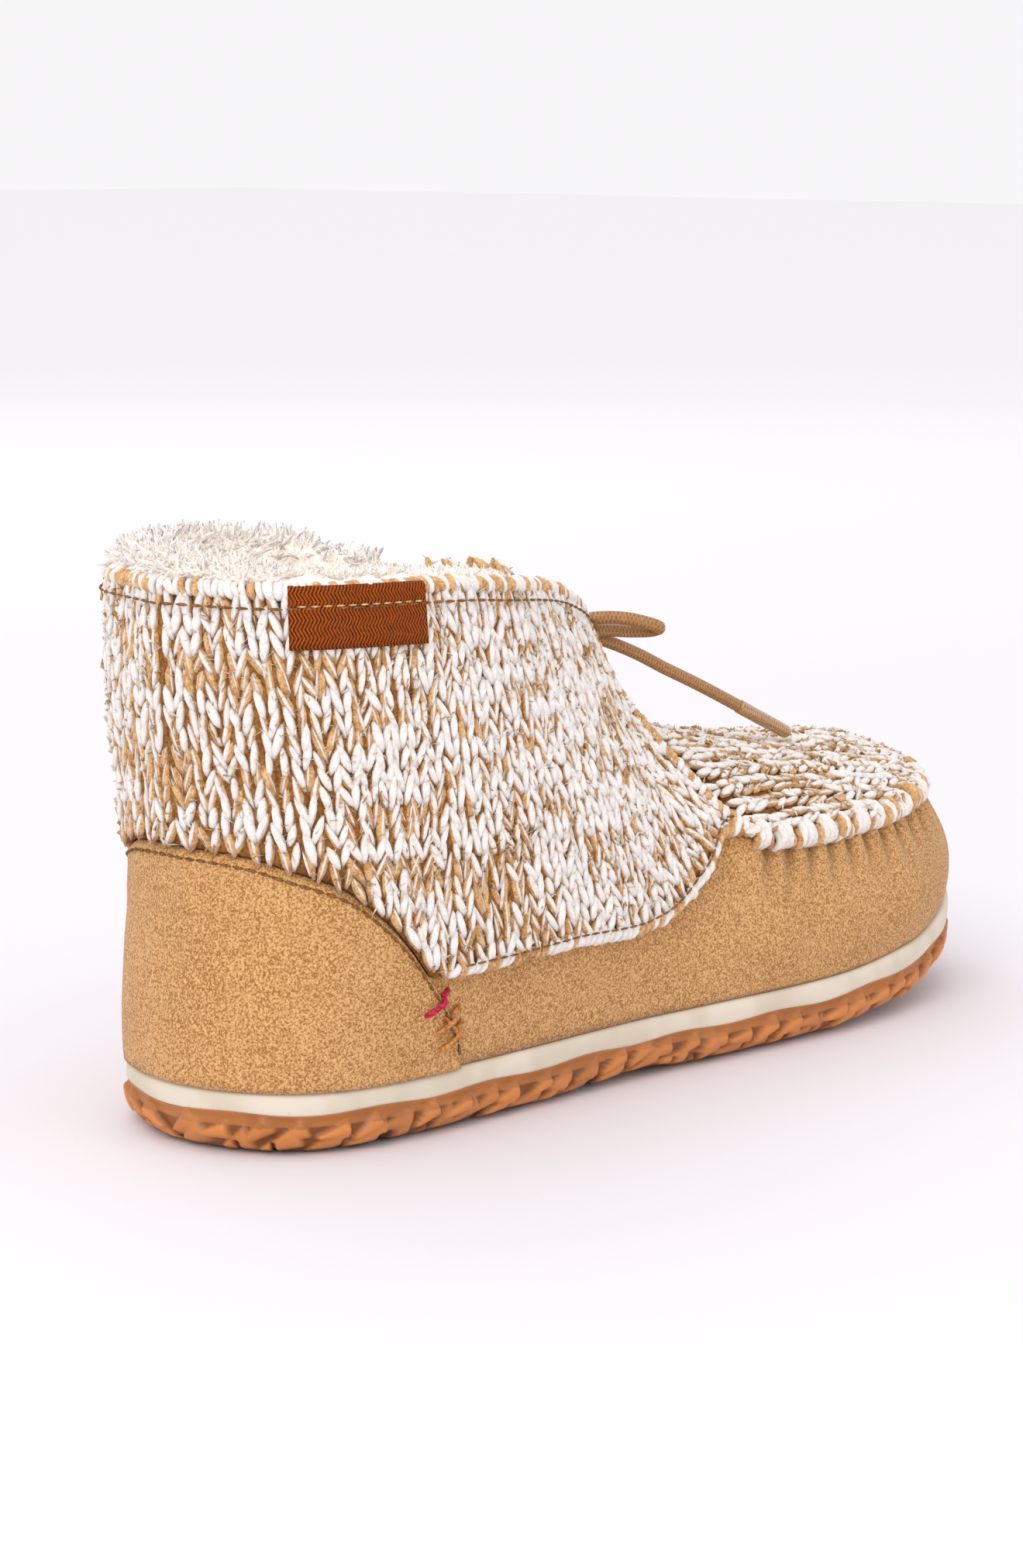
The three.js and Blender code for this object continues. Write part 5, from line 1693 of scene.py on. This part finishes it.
def make_label():
    w = np.linspace(-loop_at_edge(LABEL_END), -loop_at_edge(LABEL_START), 90)
    face = GAP + KNIT_THICKNESS + GAP
    t = LABEL_THICKNESS
    back = GAP * 4.5
    outer = [(face + t, -LABEL_DROP * s) for s in (1, 0.8, 0.6, 0.4)]
    outer += [(face + t * 0.9, -LABEL_DROP * 0.2), (face + t * 0.9, 0.1), (face + t * 0.7, GAP + t * 0.7),
              (face - 0.2, GAP + t + 0.5), (back, GAP + t)]
    inner = [(back, GAP), (face - 0.6, GAP + 0.4), (face, GAP * 0.7), (face, 0.1)]
    inner += [(face, -LABEL_DROP * s) for s in (0.2, 0.4, 0.6, 0.8, 1)]
    one = np.ones_like(w)
    rings = np.stack([rim_strip(w, o * one, r * one) for o, r in outer + inner], 1)
    soft = ripple(rings, 14, seed=31)[..., None] * 0.25
    rings = rings + outward(w)[:, None, :] * soft
    run = run_along(rings[:, 0])
    up = np.array([r for _, r in outer + inner])
    uv = np.stack([np.repeat(run[:, None], len(up), 1), np.repeat(up[None], len(w), 0)], -1).reshape(-1, 2)
    finished(ring_piece("blank_label", rings, False, SATIN, uv=uv), "satin", "side_label")


STITCH = spindle("thread_stitch", 6, 5, 0.12, 0.0)


def thread_line(name, w, v, height, pitch, size, finish, slot, rise=0.0):
    """Running stitches, of a length and a width, along a line of the last at a height over it."""
    path = skin(w, v, height)
    run = run_along(path)
    count = max(2, int(run[-1] / pitch))
    at = (np.arange(count) + 0.5) / count * run[-1]

    def sample(a, rows):
        return np.stack([np.interp(a, run, rows[:, i]) for i in range(3)], 1)

    along = unit(sample(at + 0.3, path) - sample(at - 0.3, path))
    n = unit(sample(at, last_normal(w, v)))
    side = unit(np.cross(along, n))
    n = unit(np.cross(side, along))
    length, width = size
    sizes = (width, length, width * 1.1)
    finished(place_copies(name, STITCH, sample(at, path) + n * rise, (side, along, n), sizes, finish, 0.05), slot)


def make_threads():
    end = loop_at(COUNTER_LENGTH * 0.985 / LAST_LENGTH)
    w = np.linspace(-end, end, 500)
    v = share_at_height(w, counter_edge(LAST_LENGTH * station(w)) - 2.0)
    # The dark brown of these stitches is painted shade of their holes; the thread itself is tan.
    thread_line("counter_stitches", w, v, GAP + COUNTER_THICKNESS + 0.12, 2.9, (2.4, 0.75), BROWN_THREAD, "suede")
    corner = loop_at(0.43)
    w = np.linspace(-corner, corner, 700)
    v = share_at_height(w, edge_point(w)[..., 2] - 3.2)
    height = KNIT_SEAT + KNIT_THICKNESS + 0.1
    thread_line("rim_stitches", w, v, height, 3.4, (2.6, 0.65), BROWN_THREAD, "knit", 0.6)
    for hand, side in ((-1, "lateral"), (1, "medial")):
        w = hand * np.linspace(loop_at(COUNTER_LENGTH * 0.95 / LAST_LENGTH), loop_at(0.58), 300)
        v = share_at_height(w, last(w, knit_bottom(w))[..., 2] + 2.2)
        thread_line(f"hem_stitches_{side}", w, v, height, 3.2, (2.5, 0.6), BROWN_THREAD, "knit", 0.6)
    w = np.linspace(-loop_at_edge(LABEL_END - 0.9), -loop_at_edge(LABEL_START + 0.9), 200)
    v = share_at_height(w, edge_point(w)[..., 2] - 2.7)
    height = GAP * 2 + KNIT_THICKNESS + LABEL_THICKNESS + 0.2
    thread_line("label_stitches", w, v, height, 2.5, (1.7, 0.4), PALE_THREAD, "satin")


def hand_stitch(name, ends, radius, finish):
    """One thick stitch over the counter's front end, with both ends sunk into the suede."""
    (w0, z0), (w1, z1) = ends
    s = np.linspace(0, 1, 16)
    w = w0 + (w1 - w0) * s
    v = share_at_height(w, z0 + (z1 - z0) * s)
    x = LAST_LENGTH * station(w)
    over = np.clip((counter_edge(x) - z0 - (z1 - z0) * s) / 1.5 + 0.5, 0, 1) * (x < COUNTER_LENGTH)
    height = 0.5 + (GAP + COUNTER_THICKNESS) * over + 0.5 * np.sin(np.pi * s) ** 0.5 - 1.8 * np.abs(2 * s - 1) ** 8
    points, faces, uv = tube_mesh(skin(w, v, height), radius, 10)
    finished(new_piece(name, points, faces, finish, uv=uv), "suede")


BAR_STITCHES = [
    ("upper", (36.6, 26.8), (44.9, 31.4), 0.6), ("middle", (39.2, 22.4), (48.3, 27.4), 0.55),
    ("lower", (40.5, 18.6), (49.4, 23.9), 0.55), ("link", (41.6, 26.2), (46.4, 20.6), 0.4),
]


def make_hand_stitches():
    for hand, side in ((-1, "lateral"), (1, "medial")):
        for name, start, end, radius in BAR_STITCHES:
            ends = [(hand * loop_at(x / LAST_LENGTH), z) for x, z in (start, end)]
            finish = RED_THREAD if name == "upper" else TAN_THREAD
            hand_stitch(f"bar_stitch_{name}_{side}", ends, radius, finish)


for make in (
    make_camera, make_studio, make_lace, make_outsole, make_midsole, make_insole, make_upper, make_wall_lining,
    make_counter, make_shaft, make_knit_edges, make_apron, make_seam, make_tongue, make_fleece, make_collar_tufts,
    make_tongue_fleece, make_label, make_threads, make_hand_stitches,
):
    make()

for shape in SHAPES:
    bpy.data.objects.remove(shape)
